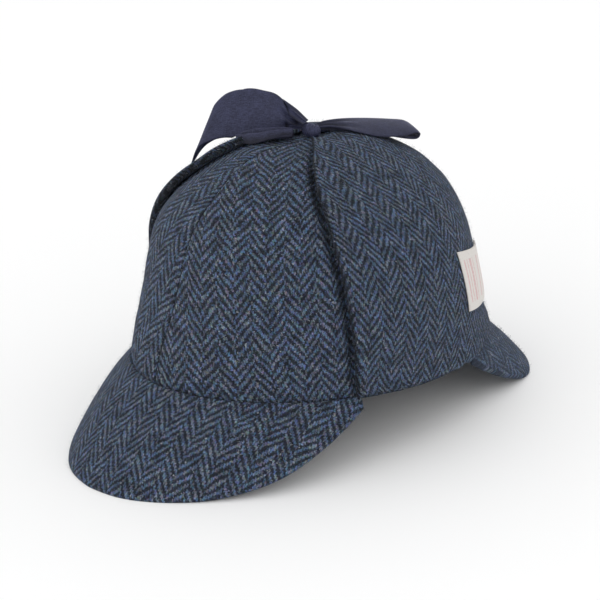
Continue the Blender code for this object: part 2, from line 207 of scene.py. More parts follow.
# Unevenness of each cloth: size of its waves and their height
CROWN_SWELLS = ((0.055, 0.0005), (0.018, 0.00018))
PEAK_SWELLS = ((0.05, 0.0003), (0.014, 0.00012))
FLAP_SWELLS = ((0.06, 0.0004), (0.02, 0.0002))
LABEL_SWELLS = ((0.03, 0.0004),)
RIBBON_SWELLS = ((0.035, 0.0005),)

# Seeds: of the unevenness, and of the loose fibres
CROWN_SEEDS = (10, 100)
PEAK_SEEDS = (40, 150)
FLAP_SEEDS = (60, 180)
LABEL_SEED = 71

# Gathers along the rim: size of a ripple, how it drifts and its height, the share that they
# reach up, and how far the seam draws the cloth in
GATHER_RUN = 0.0011
GATHER_DRIFT = 0.009
GATHER_HEIGHT = 0.00022
GATHER_SHARE = 0.045
GATHER_DRAW = 0.0004

# Crown: side step of the flat cloth, and width of a panel where it is widest
PANEL_SHIFT = 0.0043
PANEL_REACH = 0.14

# Hollow in the crown along a flap's front edge: depth, reach to either side and place past the
# edge
HOLLOW_DEPTH = 0.0034
HOLLOW_REACH = 0.0017
HOLLOW_OFF = 0.0002

# Rim of the crown: how far it is tucked in and down, and over which share of the profile
TUCK_IN = 0.0010
TUCK_DOWN = 0.0024
TUCK_SHARE = 0.008

# Flaps: width from front to back, and how far they may dip in
FLAP_REACH = 0.17
FLAP_DIP = -0.0002

# Hem of a flap: its long waves, how they drift, its short waves, their height, and the share of
# the flap over which they die out
HEM_WAVE = 0.0014
HEM_DRIFT = 0.0062
HEM_SHORT_WAVE = 0.0008
HEM_DROP = 0.00078
HEM_SHARE = 0.03

# Roll along the front edge of a flap: height, place and reach
EDGE_ROLL = (0.0011, 0.003, 0.005)

# Painted shade where cloth meets cloth: depth, and reach in metres or, at the rim, as a share
SEAM_SHADE = (0.75, 0.0009)
RIM_SHADE = (0.65, 0.010)
HOLLOW_SHADE = 0.70
FLAP_EDGE_SHADE = (0.9, 0.0016)
DEEPEST_SHADE = 0.22

# How yarns wander in the flat cloth: scale of each noise and its width
YARNS_ASIDE = ((45.0, 0.0012), (330.0, 0.0008), (1100.0, 0.0008))
YARNS_ALONG = ((60.0, 0.0024), (330.0, 0.0010), (1100.0, 0.0013))

# Tone of each tweed, the cloth's own darkness with painted shade that differs from piece to
# piece, and how much loose fibre veils the back peak's
CROWN_TONE_AND_PAINTED_SHADE = 0.88
PEAK_TONE_AND_PAINTED_SHADE = 0.91
FLAP_TONE_AND_PAINTED_SHADE = 0.85
BACK_PEAK_FUZZ = 0.35

# Sockets of the tree that makes loose fibres
FIBRE_SOCKETS = (
    # name, way, kind
    ("Geometry", "INPUT", "Geometry"),
    ("Density", "INPUT", "Float"),
    ("Length", "INPUT", "Float"),
    ("Radius", "INPUT", "Float"),
    ("Seed", "INPUT", "Int"),
    ("Material", "INPUT", "Material"),
    ("Geometry", "OUTPUT", "Geometry"),
)

# Ribbon: how far its edges curl, how thick it counts where it clears the cloth, and the share of
# the crown past a flap's top where it may still lie on the flap
RIBBON_CURL = 0.0003
RIBBON_CLEAR = 0.001
PAST_FLAP_TOP = 0.005

# Threads of the ribbon, across it and along it, and ribs of the label
RIBBON_THREADS = (0.0004, 0.00045)
LABEL_RIBS = 0.00038

# Knot: how blunt its ends are, its bulk as a share of the box, height and reach of the fold that
# crosses it, and how far it has slipped along the flat loop and down
KNOT_BLUNT = 3.2
KNOT_BULK = 0.74
KNOT_FOLD = (0.07, 0.18)
KNOT_SLIP = (0.0018, 0.0013)

# Studio lights: name, place, size and power, all aimed at the crown
LIGHTS = (
    ("key_light", (0.55, -1.30, 0.95), 1.4, 1.6),
    ("fill_light", (1.45, -0.10, 0.60), 1.4, 1.3),
    ("top_light", (0.10, 0.35, 1.60), 1.6, 0.3),
)
LIGHTS_AIM = (0.0, 0.0, 0.09)
FLOOR_REACH = 6.0

# Points this close are one, and faces this thin are none
MEET = 2e-6
THIN = 1e-7

# Mesh density
CROWN_ROWS = 120
CROWN_COLUMNS = 100
PEAK_ROWS = 40
PEAK_COLUMNS = 180
FLAP_ROWS = 110
FLAP_COLUMNS = 96
LABEL_ROWS = 30
LABEL_COLUMNS = 40
RIBBON_STEPS = 14
RIBBON_COLUMNS = 24
KNOT_ROWS = 48
KNOT_COLUMNS = 72

# Shares of a grid's rows and columns that the roll of its edges takes up, and steps in a roll
CROWN_ROLLS = (0.008, 0.011)
PEAK_ROLLS = (0.028, 0.004)
FLAP_ROLLS = (0.014, 0.016)
LABEL_ROLLS = (0.012, 0.010)
ROLL_STEPS = 4

# Step for slopes, as a share of the crown's profile or a turn
SHARE_STEP = 1e-4
UP = np.array((0.0, 0.0, 1.0))


# Sizes and colours


def metres(title, text, default):
    """A length that can be set."""
    return FloatProperty(name=title, description=text, default=default, unit="LENGTH")


def degrees(title, text, default):
    """An angle that can be set, with its default in degrees."""
    return FloatProperty(name=title, description=text, default=math.radians(default),
                         subtype="ANGLE")


def plain_number(title, text, default):
    """A number without a unit that can be set."""
    return FloatProperty(name=title, description=text, default=default)


def shade_colour(title, text, default):
    """A colour that can be set."""
    return FloatVectorProperty(name=title, description=text, subtype="COLOR", size=3,
                               default=default, min=0, max=1)


class DEERSTALKER_PG_sizes(bpy.types.PropertyGroup):
    """Real sizes of the hat."""

    rim_half_length: metres(
        "Rim Half Length", "Half of the head opening from front to back", 0.104)
    rim_half_width: metres("Rim Half Width", "Half of the head opening from side to side", 0.087)
    crown_height: metres("Crown Height", "Height of the crown over the rim", 0.118)
    crown_wall: metres("Crown Wall", "Thickness of the crown's tweed", 0.0022)
    rim_back_rise: metres("Rim Back Rise", "Lift of the rim at the back of the head", 0.006)
    rim_rise_from: degrees("Rim Rise From", "Turn from the side where the rim starts to lift", 30)
    seam_gap: metres("Seam Gap", "Gap between pieces of the frame", 0.0003)
    front_peak_width: metres(
        "Front Peak Width", "Depth of the front peak from rim to edge", 0.066)
    front_peak_half_span: degrees(
        "Front Peak Half Span", "Turn from the peak's centre to its corner", 74.5)
    front_peak_camber: metres("Front Peak Camber", "Bulge of the front peak's middle", 0.0025)
    back_peak_width: metres("Back Peak Width", "Depth of the back peak from rim to edge", 0.040)
    back_peak_half_span: degrees(
        "Back Peak Half Span", "Turn from the peak's centre to its corner", 56)
    back_peak_camber: metres("Back Peak Camber", "Bulge of the back peak's middle", 0.0012)
    peak_thick: metres("Peak Thickness", "Board and two layers of tweed", 0.0036)
    front_peak_grain: degrees("Front Peak Grain", "Turn of the cloth on the front peak", 6)
    back_peak_grain: degrees("Back Peak Grain", "Turn of the cloth on the back peak", -38)
    flap_thick: metres("Flap Thickness", "Two layers of tweed", 0.0040)
    flap_ease: plain_number("Flap Ease", "Cloth used up per metre round the flaps", 1.16)
    flap_grain: degrees("Flap Grain", "Turn of the cloth on the flaps", -4)
    flap_stand: metres("Flap Stand", "Air between the flaps and the crown", 0.0007)
    flap_hem_share: plain_number(
        "Flap Hem", "Share of the crown's profile where the flaps start", 0.009)
    flap_top_share: plain_number(
        "Flap Top", "Share of the crown's profile where the flaps end", 0.955)
    label_length: metres("Label Length", "Length of the woven label around the head", 0.046)
    label_height: metres("Label Height", "Height of the woven label", 0.032)
    label_thick: metres("Label Thickness", "Thickness of the woven label", 0.0009)
    label_turn: degrees("Label Turn", "Place of the label's middle around the head", 36)
    label_height_up: metres("Label Height Up", "Height of the label's middle over the rim", 0.049)
    label_lean: degrees("Label Lean", "Lean of the label from upright", 9.1)
    label_tilt: degrees("Label Tilt", "Sag of the label's rear edge", 10)
    ribbon_width: metres("Ribbon Width", "Width of the ribbon laid flat", 0.026)
    ribbon_thick: metres("Ribbon Thickness", "Thickness of the ribbon", 0.0006)
    knot_length: metres("Knot Length", "Length of the knot along the bow", 0.011)
    knot_width: metres("Knot Width", "Width of the knot across the bow", 0.009)
    knot_height: metres("Knot Height", "Height of the knot", 0.0098)
    large_loop_reach: metres("Large Loop Reach", "Reach of the bow's upright loop", 0.072)
    large_loop_heading: degrees(
        "Large Loop Heading", "Way that the upright loop leaves the knot", -160)
    flat_loop_reach: metres("Flat Loop Reach", "Reach of the bow's flat loop", 0.062)
    flat_loop_heading: degrees("Flat Loop Heading", "Way that the flat loop leaves the knot", 72)
    tie_reach: metres("Tie Reach", "Reach of the gathered tie on the right flap", 0.037)
    tie_heading: degrees("Tie Heading", "Way that the gathered tie leaves the knot", -136)


class DEERSTALKER_PG_finish(bpy.types.PropertyGroup):
    """Colours and cloth of the hat."""

    end_pitch: metres("End Pitch", "Width of one warp yarn", 0.00107)
    pick_pitch: metres("Pick Pitch", "Width of one weft yarn", 0.00134)
    ends_per_column: IntProperty(
        name="Ends per Column", description="Warp yarns before the twill turns back",
        default=8, min=2)
    warp_colour: shade_colour("Warp Colour", "Mid blue wool", (0.072, 0.112, 0.196))
    warp_grey: shade_colour(
        "Warp Grey", "Paler grey wool spun into the blue", (0.125, 0.142, 0.180))
    weft_colour: shade_colour("Weft Colour", "Near black wool", (0.016, 0.020, 0.030))
    haze_colour: shade_colour(
        "Haze Colour", "Loose fibres raised over the weave", (0.060, 0.076, 0.112))
    fleck_colour: shade_colour("Fleck Colour", "Pale flecks in the yarn", (0.30, 0.32, 0.36))
    fibre_colour: shade_colour("Fibre Colour", "Loose fibres on the cloth", (0.12, 0.145, 0.20))
    fibre_density: plain_number("Fibre Density", "Loose fibres per square metre", 150000.0)
    fibre_length: metres("Fibre Length", "Longest loose fibre", 0.0021)
    fibre_radius: metres("Fibre Radius", "Radius of a loose fibre at its root", 0.000035)
    ribbon_colour: shade_colour("Ribbon Colour", "Dark navy ribbon", (0.034, 0.037, 0.076))
    label_colour: shade_colour("Label Colour", "Off-white label cloth", (0.66, 0.63, 0.60))
    label_rule_colour: shade_colour("Label Rule Colour", "Plain woven rules", (0.55, 0.24, 0.26))


class DEERSTALKER_PG_stage(bpy.types.PropertyGroup):
    """Camera, lights and floor."""

    camera_turn: degrees("Camera Turn", "Camera's turn from the hat's front to its left", 53)
    camera_height: degrees("Camera Height", "Camera's angle over the rim's plane", 19.5)
    camera_distance: metres("Camera Distance", "Distance from the rim's middle", 1.5)
    pixels_per_metre: plain_number(
        "Pixels per Metre", "Scale of the picture at the rim's middle", 1795.0)
    rim_middle_pixel: FloatVectorProperty(
        name="Rim Middle Pixel", description="Where the rim's middle lies in the picture",
        size=2, default=(308.4, 342.5))
    picture_size: plain_number("Picture Size", "Width and height of the picture in pixels", 600.0)
    world_around: plain_number(
        "World Around", "Strength of the white room level with the hat", 1.32)
    world_overhead: plain_number(
        "World Overhead", "Strength of the white room above the hat", 0.92)
    floor_colour: shade_colour("Floor Colour", "Plain pale floor", (0.96, 0.96, 0.96))


# Shape of the hat


def smooth_rows(table, position):
    """Catmull-Rom values of a table's columns at positions counted in rows."""
    rows = np.array(table, float)
    ends = np.vstack([2 * rows[0] - rows[1], rows, 2 * rows[-1] - rows[-2]])
    index = np.clip(np.floor(position).astype(int), 0, len(rows) - 2)
    part = (position - index)[..., None]
    a, b, c, d = (ends[index + step] for step in range(4))
    return 0.5 * (2 * b + (c - a) * part + (2 * a - 5 * b + 4 * c - d) * part ** 2
                  + (3 * b - a - 3 * c + d) * part ** 3)


def unit(vectors):
    """Vectors at length one."""
    length = np.linalg.norm(vectors, axis=-1, keepdims=True)
    return vectors / np.maximum(length, 1e-12)


def rim_rise(sizes, turn):
    """Lift of the rim at a turn round the head."""
    start = math.sin(sizes.rim_rise_from)
    part = np.clip((np.sin(turn) - start) / (1 - start), 0, 1)
    return sizes.rim_back_rise * part * part * (3 - 2 * part)


def crown_face(sizes, share, turn):
    """Outer face of the crown: share 0 at the rim to 1 at the top, turn from the left side."""
    share, turn = np.broadcast_arrays(np.asarray(share, float), np.asarray(turn, float))
    section = smooth_rows(CROWN_SECTIONS, share * (len(CROWN_SECTIONS) - 1))
    height, front, side, back = np.moveaxis(section, -1, 0)
    weight = np.sin(turn) ** 2
    radius = side * (1 - weight) + np.where(np.sin(turn) < 0, front, back) * weight
    rise = rim_rise(sizes, turn)
    return np.stack((
        sizes.rim_half_width * radius * np.cos(turn),
        sizes.rim_half_length * radius * np.sin(turn),
        rise + (sizes.crown_height - rise) * height,
    ), axis=-1)


def crown_normal(sizes, share, turn):
    """Outward normals of the crown's face."""
    share = np.minimum(share, 1 - 20 * SHARE_STEP)
    along = (crown_face(sizes, share + SHARE_STEP, turn)
             - crown_face(sizes, share - SHARE_STEP, turn))
    around = (crown_face(sizes, share, turn + SHARE_STEP)
              - crown_face(sizes, share, turn - SHARE_STEP))
    return unit(np.cross(around, along))


def place_under(sizes, point):
    """Share and turn of the crown's face below points near its top."""
    turn = np.arctan2(point[..., 1] / sizes.rim_half_length, point[..., 0] / sizes.rim_half_width)
    target = np.hypot(point[..., 0], point[..., 1])
    low, high = np.full(turn.shape, 0.5), np.full(turn.shape, 1.0)
    for _ in range(30):
        middle = (low + high) / 2
        face = crown_face(sizes, middle, turn)
        outside = np.hypot(face[..., 0], face[..., 1]) > target
        low, high = np.where(outside, middle, low), np.where(outside, high, middle)
    return low, turn


def flap_cover(sizes):
    """Height of a flap's outer face over the crown's."""
    return sizes.flap_stand + sizes.flap_thick + sizes.seam_gap


def hat_place(sizes):
    """Matrix that sets the hat down as the frame's front panel is, from its rim and its top."""
    points = np.array([v.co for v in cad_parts["crown_front_left"].data.vertices])
    rim, top = points[points[:, 1].argmin()], points[points[:, 1].argmax()]
    half_gap = sizes.seam_gap / 2
    stands = math.atan2(top[2] - rim[2], top[1] - rim[1])
    tilt = stands - math.atan2(sizes.crown_height, sizes.rim_half_length)
    turned = Matrix.Rotation(tilt, 4, "X")
    rim_here = turned @ Vector((0, -sizes.rim_half_length - half_gap, 0))
    return Matrix.Translation((0, rim[1] - rim_here.y, rim[2] - rim_here.z)) @ turned


def waves(points, size, seed, count=7):
    """Smooth unevenness from -1 to 1 over points, with waves of about the given size."""
    rng = np.random.default_rng(seed)
    total = np.zeros(points.shape[:-1])
    for _ in range(count):
        way = unit(rng.normal(size=3)) * (2 * math.pi / size) * rng.uniform(0.6, 1.4)
        total += np.sin(points @ way + rng.uniform(0, 2 * math.pi))
    return total / count * 1.6


def swells(points, table, seed):
    """Unevenness of a cloth, from a table of its waves."""
    return sum(waves(points, size, seed + number) * height
               for number, (size, height) in enumerate(table))


def bump_at(distance, reach):
    """Bell curve, 1 at no distance."""
    return np.exp(-(distance / reach) ** 2)


def way_to(heading):
    """Level direction of a heading."""
    return np.array((math.cos(heading), math.sin(heading), 0.0))


def rolled_shares(count, roll):
    """Shares from 0 to 1 with short steps round each edge, and the thickness at each."""
    turn = np.linspace(0, math.pi / 2, ROLL_STEPS + 1)[:-1]
    first, full = roll * (1 - np.cos(turn)), np.sin(turn)
    middle = np.linspace(roll, 1 - roll, count + 1)
    shares = np.concatenate((first, middle, (1 - first)[::-1]))
    return shares, np.concatenate((full, np.ones(count + 1), full[::-1]))


def faded(shade, distance):
    """Painted shade of a depth and a reach, at a distance."""
    depth, reach = shade
    return depth * np.exp(-distance / reach)


def thickness(full_up, full_round):
    """Share of the full thickness over a grid, which is thin at its rolled edges."""
    return (full_up[:, None] * full_round[None, :])[..., None]


def on_grain(cloth, angle, shift=0.0):
    """Turn the flat cloth under a piece and slide it sideways."""
    cos, sin = math.cos(angle), math.sin(angle)
    return cloth @ np.array(((cos, -sin), (sin, cos))) + np.array((shift, 0.0))


def arc_from(points, axis, start, ease=1.0):
    """Signed distance along a grid's axis from one of its lines, eased by a factor."""
    steps = np.linalg.norm(np.diff(points, axis=axis), axis=-1) * ease
    pad = [(0, 0), (0, 0)]
    pad[axis] = (1, 0)
    run = np.pad(np.cumsum(steps, axis=axis), pad)
    return run - np.take(run, [start], axis=axis)


def laid_flat(outer, centre, ease, grain, shift=0.0):
    """Places on the flat cloth, measured over a face from one of its columns."""
    around = arc_from(outer, 1, centre, ease)
    along = arc_from(outer, 0, 0)[:, centre][:, None] * np.ones_like(around)
    return on_grain(np.stack((around, along), axis=-1), grain, shift)


# Meshes


def grid_quads(rows, columns, first=0, turned=False):
    """Faces of a grid whose points are numbered from first."""
    index = first + np.arange(rows * columns).reshape(rows, columns)
    quads = np.stack((index[:-1, :-1], index[:-1, 1:], index[1:, 1:], index[1:, :-1]), axis=-1)
    quads = quads.reshape(-1, 4)
    return quads[:, ::-1] if turned else quads


def wall_mesh(name, outer, inner, cloth, crease_and_painted_shade=None):
    """Closed wall between two grids, with the cloth's UV map in metres and the painted shade at
    its creases.
    """
    rows, columns = outer.shape[:2]
    points = np.concatenate((outer.reshape(-1, 3), inner.reshape(-1, 3)))
    index = np.arange(rows * columns).reshape(rows, columns)
    rim = np.concatenate((index[0, :-1], index[:-1, -1], index[-1, :0:-1], index[:0:-1, 0]))
    after = np.roll(rim, -1)
    sides = np.stack((rim, after, after + rows * columns, rim + rows * columns), axis=-1)
    quads = np.concatenate((grid_quads(rows, columns),
                            grid_quads(rows, columns, rows * columns, True), sides))
    mesh = bpy.data.meshes.new(name)
    mesh.from_pydata(points.tolist(), [], quads.tolist())
    add_cloth_map(mesh, np.concatenate((cloth.reshape(-1, 2), cloth.reshape(-1, 2))))
    # Painted shade: a value per point that darkens the cloth's colour where cloth meets cloth
    if crease_and_painted_shade is not None:
        depth = mesh.attributes.new("crease_and_painted_shade", "FLOAT", "POINT")
        both = np.concatenate((crease_and_painted_shade.ravel(), crease_and_painted_shade.ravel()))
        depth.data.foreach_set("value", both.astype(np.float32))
    weld(mesh)
    return mesh


def add_cloth_map(mesh, places):
    """UV map of a mesh from the place of each of its points on the flat cloth."""
    lay = mesh.uv_layers.new(name="cloth")
    corners = np.zeros(len(mesh.loops), np.int32)
    mesh.loops.foreach_get("vertex_index", corners)
    lay.data.foreach_set("uv", places[corners].astype(np.float32).ravel())


def weld(mesh):
    """Merge meeting points, drop flat faces and turn the faces outward."""
    work = bmesh.new()
    work.from_mesh(mesh)
    bmesh.ops.remove_doubles(work, verts=work.verts, dist=MEET)
    bmesh.ops.dissolve_degenerate(work, edges=work.edges, dist=THIN)
    bmesh.ops.recalc_face_normals(work, faces=work.faces)
    work.to_mesh(mesh)
    work.free()
    mesh.shade_smooth()


def linked(context, name, data):
    """New object in the scene."""
    made = bpy.data.objects.new(name, data)
    context.scene.collection.objects.link(made)
    return made


def add_piece(context, node, mesh, material):
    """Cloth that is set down where the hat is, and stands for a node of the frame."""
    mesh.transform(hat_place(context.scene.deerstalker_sizes))
    mesh.materials.append(material)
    piece = linked(context, node + "_cloth", mesh)
    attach(piece, "root")
    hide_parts(node)
    return piece


# Shader graphs


class Graph:
    """Short calls for building a node tree."""

    def __init__(self, tree):
        self.tree = tree

    def node(self, kind, inputs=None, **settings):
        """New node with its settings and inputs."""
        made = self.tree.nodes.new(kind)
        for name, value in settings.items():
            setattr(made, name, value)
        for name, value in (inputs or {}).items():
            self.put(value, made.inputs[name])
        return made

    def put(self, value, socket):
        """Link a socket to another, or set its value."""
        if isinstance(value, bpy.types.NodeSocket):
            self.tree.links.new(value, socket)
        else:
            socket.default_value = value

    def math(self, operation, *values, clamp=False):
        """Result of an operation on numbers."""
        made = self.node("ShaderNodeMath", dict(enumerate(values)), operation=operation,
                         use_clamp=clamp)
        return made.outputs[0]

    def plus(self, first, second):
        """Sum of two numbers."""
        return self.math("ADD", first, second)

    def minus(self, first, second):
        """Difference of two numbers."""
        return self.math("SUBTRACT", first, second)

    def times(self, first, second):
        """Product of two numbers."""
        return self.math("MULTIPLY", first, second)

    def blend(self, factor, first, second):
        """Colour between two."""
        made = self.node("ShaderNodeMix", data_type="RGBA")
        self.put(factor, made.inputs["Factor"])
        for value, socket in ((first, made.inputs[6]), (second, made.inputs[7])):
            self.put(value if isinstance(value, bpy.types.NodeSocket) else rgba(value), socket)
        return made.outputs[2]

    def choose(self, factor, first, second):
        """Number between two."""
        made = self.node("ShaderNodeMix", {0: factor, 2: first, 3: second}, data_type="FLOAT")
        return made.outputs[0]

    def dim(self, colour, amount):
        """Colour times an amount."""
        made = self.node("ShaderNodeMix", {"Factor": 1.0, 6: colour, 7: amount},
                         data_type="RGBA", blend_type="MULTIPLY")
        return made.outputs[2]

    def pair(self, x, y, z=0.0):
        """Vector of two or three numbers."""
        return self.node("ShaderNodeCombineXYZ", {0: x, 1: y, 2: z}).outputs[0]

    def split(self, vector):
        """Three numbers of a vector."""
        return tuple(self.node("ShaderNodeSeparateXYZ", {0: vector}).outputs)

    def noise(self, vector, scale, detail=2.0, roughness=0.5, output="Fac"):
        """Noise from 0 to 1, or its colours."""
        made = self.node("ShaderNodeTexNoise", {"Vector": vector, "Scale": scale,
                                                "Detail": detail, "Roughness": roughness})
        return made.outputs[output]

    def speckle(self, vector):
        """A number of its own for each cell."""
        made = self.node("ShaderNodeTexWhiteNoise", {"Vector": vector}, noise_dimensions="3D")
        return made.outputs["Value"]

    def ramp(self, value, low, high, to_low=0.0, to_high=1.0):
        """Smooth step from one number to another."""
        made = self.node("ShaderNodeMapRange", {0: value, 1: low, 2: high, 3: to_low, 4: to_high},
                         interpolation_type="SMOOTHSTEP")
        return made.outputs[0]

    def cloth_place(self):
        """Place on the flat cloth, in metres."""
        return self.node("ShaderNodeUVMap", uv_map="cloth").outputs[0]

    def told(self, name):
        """Number that the mesh holds."""
        return self.node("ShaderNodeAttribute", attribute_name=name).outputs["Fac"]

    def threads(self, value, pitch):
        """Rows of threads: -1 between them to 1 on them."""
        return self.math("SINE", self.times(value, 2 * math.pi / pitch))

    def with_painted_shade(self, colour):
        """Colour with painted shade where cloth meets cloth, as deep as the mesh's painted shade
        value says.
        """
        return self.dim(colour, self.ramp(self.told("crease_and_painted_shade"), 0.0, 1.0, 1.0, DEEPEST_SHADE))


def rgba(colour):
    """Colour with full alpha."""
    return (*colour[:3], 1.0)


def cloth_material(name, roughness, sheen, sheen_roughness, sheen_tint):
    """A new material with its Principled shader, and a graph to fill in."""
    material = bpy.data.materials.new(name)
    material.use_nodes = True
    graph = Graph(material.node_tree)
    shader = material.node_tree.nodes["Principled BSDF"]
    shader.inputs["Roughness"].default_value = roughness
    shader.inputs["Specular IOR Level"].default_value = 0.25
    shader.inputs["Sheen Weight"].default_value = sheen
    shader.inputs["Sheen Roughness"].default_value = sheen_roughness
    shader.inputs["Sheen Tint"].default_value = rgba(sheen_tint)
    return material, graph, shader


def add_bump(graph, shader, height, strength, distance):
    """Relief on the cloth."""
    bump = graph.node("ShaderNodeBump", {"Strength": strength, "Distance": distance,
                                         "Height": height})
    graph.put(bump.outputs[0], shader.inputs["Normal"])


def tweed_material(name, finish, seed, tone=1.0, fuzz=0.0):
    """Herringbone: a two and two twill of blue ends and black picks that turns at each column."""
    found = bpy.data.materials.get(name)
    if found:
        return found
    material, graph, shader = cloth_material(name, 1.0, 0.02, 0.5, (0.70, 0.78, 0.92))
    u, v, _ = graph.split(graph.cloth_place())
    shifted = graph.pair(graph.plus(u, seed * 0.37), v, seed * 1.7)
    u = wander(graph, u, shifted, YARNS_ASIDE)
    v = wander(graph, v, graph.pair(v, u, seed), YARNS_ALONG)
    ends = graph.math("DIVIDE", u, finish.end_pitch)
    picks = graph.math("DIVIDE", v, finish.pick_pitch)
    end, pick = graph.math("FLOOR", ends), graph.math("FLOOR", picks)
    across, up = graph.minus(ends, end), graph.minus(picks, pick)

    count = float(finish.ends_per_column)
    column = graph.math("FLOOR", graph.math("DIVIDE", end, count))
    step = graph.minus(end, graph.times(column, count))
    turned = graph.math("FLOORED_MODULO", column, 2.0)
    step = graph.choose(turned, step, graph.minus(count + 1, step))
    phase = graph.math("FLOORED_MODULO", graph.plus(pick, step), 4.0)
    weft_up = graph.math("GREATER_THAN", phase, 1.5)

    along_warp = graph.times(graph.plus(phase, up), 0.5)
    across_way = graph.choose(turned, across, graph.minus(1.0, across))
    along_weft = graph.times(graph.minus(graph.plus(phase, across_way), 2.0), 0.5)
    warp_height = graph.times(yarn_round(graph, across), yarn_float(graph, along_warp))
    weft_height = graph.times(yarn_round(graph, up), yarn_float(graph, along_weft))
    height = graph.choose(weft_up, warp_height, weft_height)

    grain = graph.noise(graph.pair(graph.times(u, 1.7), v, seed), 1150.0, 3.0, 0.7)
    pick_pair = graph.math("FLOOR", graph.times(picks, 0.5))
    cell_tone = graph.speckle(graph.pair(end, pick_pair, seed))
    hair = graph.noise(graph.pair(v, u, seed + 9.0), 520.0, 4.0, 0.75)
    fleck = graph.noise(graph.pair(u, v, seed + 20.0), 700.0, 1.0)
    patches = graph.noise(shifted, 150.0, 3.0)

    warp = graph.blend(graph.ramp(cell_tone, 0.35, 0.95), finish.warp_colour, finish.warp_grey)
    colour = graph.blend(weft_up, warp, finish.weft_colour)
    # Painted shade: the low parts of each yarn, where it dips under its neighbours, are darker
    colour = graph.dim(colour, graph.ramp(height, 0.0, 0.7, 0.62, 1.06))
    colour = graph.blend(graph.ramp(hair, 0.46, 0.70, 0.0, 0.62), colour, finish.haze_colour)
    colour = graph.dim(colour, tinted(graph, shifted, 620.0, 1.25))
    # Tone: the cloth's own darkness, with painted shade that differs from piece to piece
    colour = graph.dim(colour, graph.ramp(grain, 0.30, 0.74, 0.34 * tone, 1.95 * tone))
    colour = graph.dim(colour, graph.ramp(patches, 0.25, 0.75, 0.60, 1.42))
    colour = graph.blend(fuzz, colour, finish.haze_colour)
    # Painted shade where cloth meets cloth
    colour = graph.with_painted_shade(colour)
    colour = graph.blend(graph.ramp(fleck, 0.68, 0.76, 0.0, 0.85), colour, finish.fleck_colour)
    graph.put(colour, shader.inputs["Base Color"])
    relief = graph.plus(height, graph.times(grain, 0.9))
    add_bump(graph, shader, relief, 0.8, 0.0005)
    return material


def wander(graph, value, place, sizes):
    """Add noises of given scale and width to a cloth coordinate."""
    for scale, width in sizes:
        drift = graph.minus(graph.noise(place, scale, 1.0), 0.5)
        value = graph.plus(value, graph.times(drift, 2 * width))
    return value


def tinted(graph, place, scale, strength):
    """Colour factors about one that change hue from fibre to fibre."""
    made = graph.node("ShaderNodeVectorMath", {
        0: graph.noise(place, scale, output="Color"),
        1: (strength, strength * 0.8, strength),
        2: (1 - strength / 2, 1 - strength * 0.4, 1 - strength / 2),
    }, operation="MULTIPLY_ADD")
    return made.outputs[0]


def yarn_round(graph, across):
    """Round cross section of a yarn, 0 at its sides to 1 in the middle."""
    off = graph.minus(graph.times(across, 2.0), 1.0)
    return graph.math("SUBTRACT", 1.0, graph.times(off, off), clamp=True)


def yarn_float(graph, along):
    """Rise of a yarn over the two that it crosses."""
    wave = graph.math("SINE", graph.times(along, math.pi))
    return graph.math("POWER", graph.math("MAXIMUM", wave, 0.0), 0.5)


def fibre_material(finish):
    """Loose wool, darker or paler from fibre to fibre."""
    found = bpy.data.materials.get("loose_fibre")
    if found:
        return found
    material, graph, shader = cloth_material("loose_fibre", 0.8, 0.2, 0.5, (0.8, 0.85, 0.95))
    tone = graph.told("tone")
    colour = graph.blend(graph.ramp(tone, 0.15, 0.8), (0.02, 0.025, 0.035), finish.fibre_colour)
    colour = graph.blend(graph.ramp(tone, 0.93, 0.97), colour, finish.fleck_colour)
    graph.put(colour, shader.inputs["Base Color"])
    return material


def ribbon_material(finish):
    """Dark navy ribbon with a fine plain weave and a cloudy sheen."""
    found = bpy.data.materials.get("navy_ribbon")
    if found:
        return found
    material, graph, shader = cloth_material("navy_ribbon", 0.66, 0.14, 0.35, (0.42, 0.46, 0.88))
    place = graph.cloth_place()
    across, along, _ = graph.split(place)
    weave = graph.times(graph.threads(across, RIBBON_THREADS[0]),
                       graph.threads(along, RIBBON_THREADS[1]))
    streak = graph.noise(graph.pair(graph.times(across, 9.0), along, 2.0), 260.0, 3.0)
    cloud = graph.noise(place, 90.0, 3.0, 0.6)
    grain = graph.noise(place, 1100.0, 3.0, 0.65)
    tone = graph.plus(graph.times(streak, 0.40),
                      graph.plus(graph.times(cloud, 0.25), graph.times(grain, 0.40)))
    colour = graph.dim(rgba(finish.ribbon_colour), graph.ramp(tone, 0.34, 0.72, 0.42, 1.62))
    colour = graph.dim(colour, graph.ramp(weave, -1.0, 1.0, 0.86, 1.08))
    # Painted shade in the pleats, the folds and over whole pieces
    colour = graph.with_painted_shade(colour)
    graph.put(colour, shader.inputs["Base Color"])
    relief = graph.plus(graph.times(weave, 0.5), streak)
    add_bump(graph, shader, relief, 0.35, 0.0001)
    return material


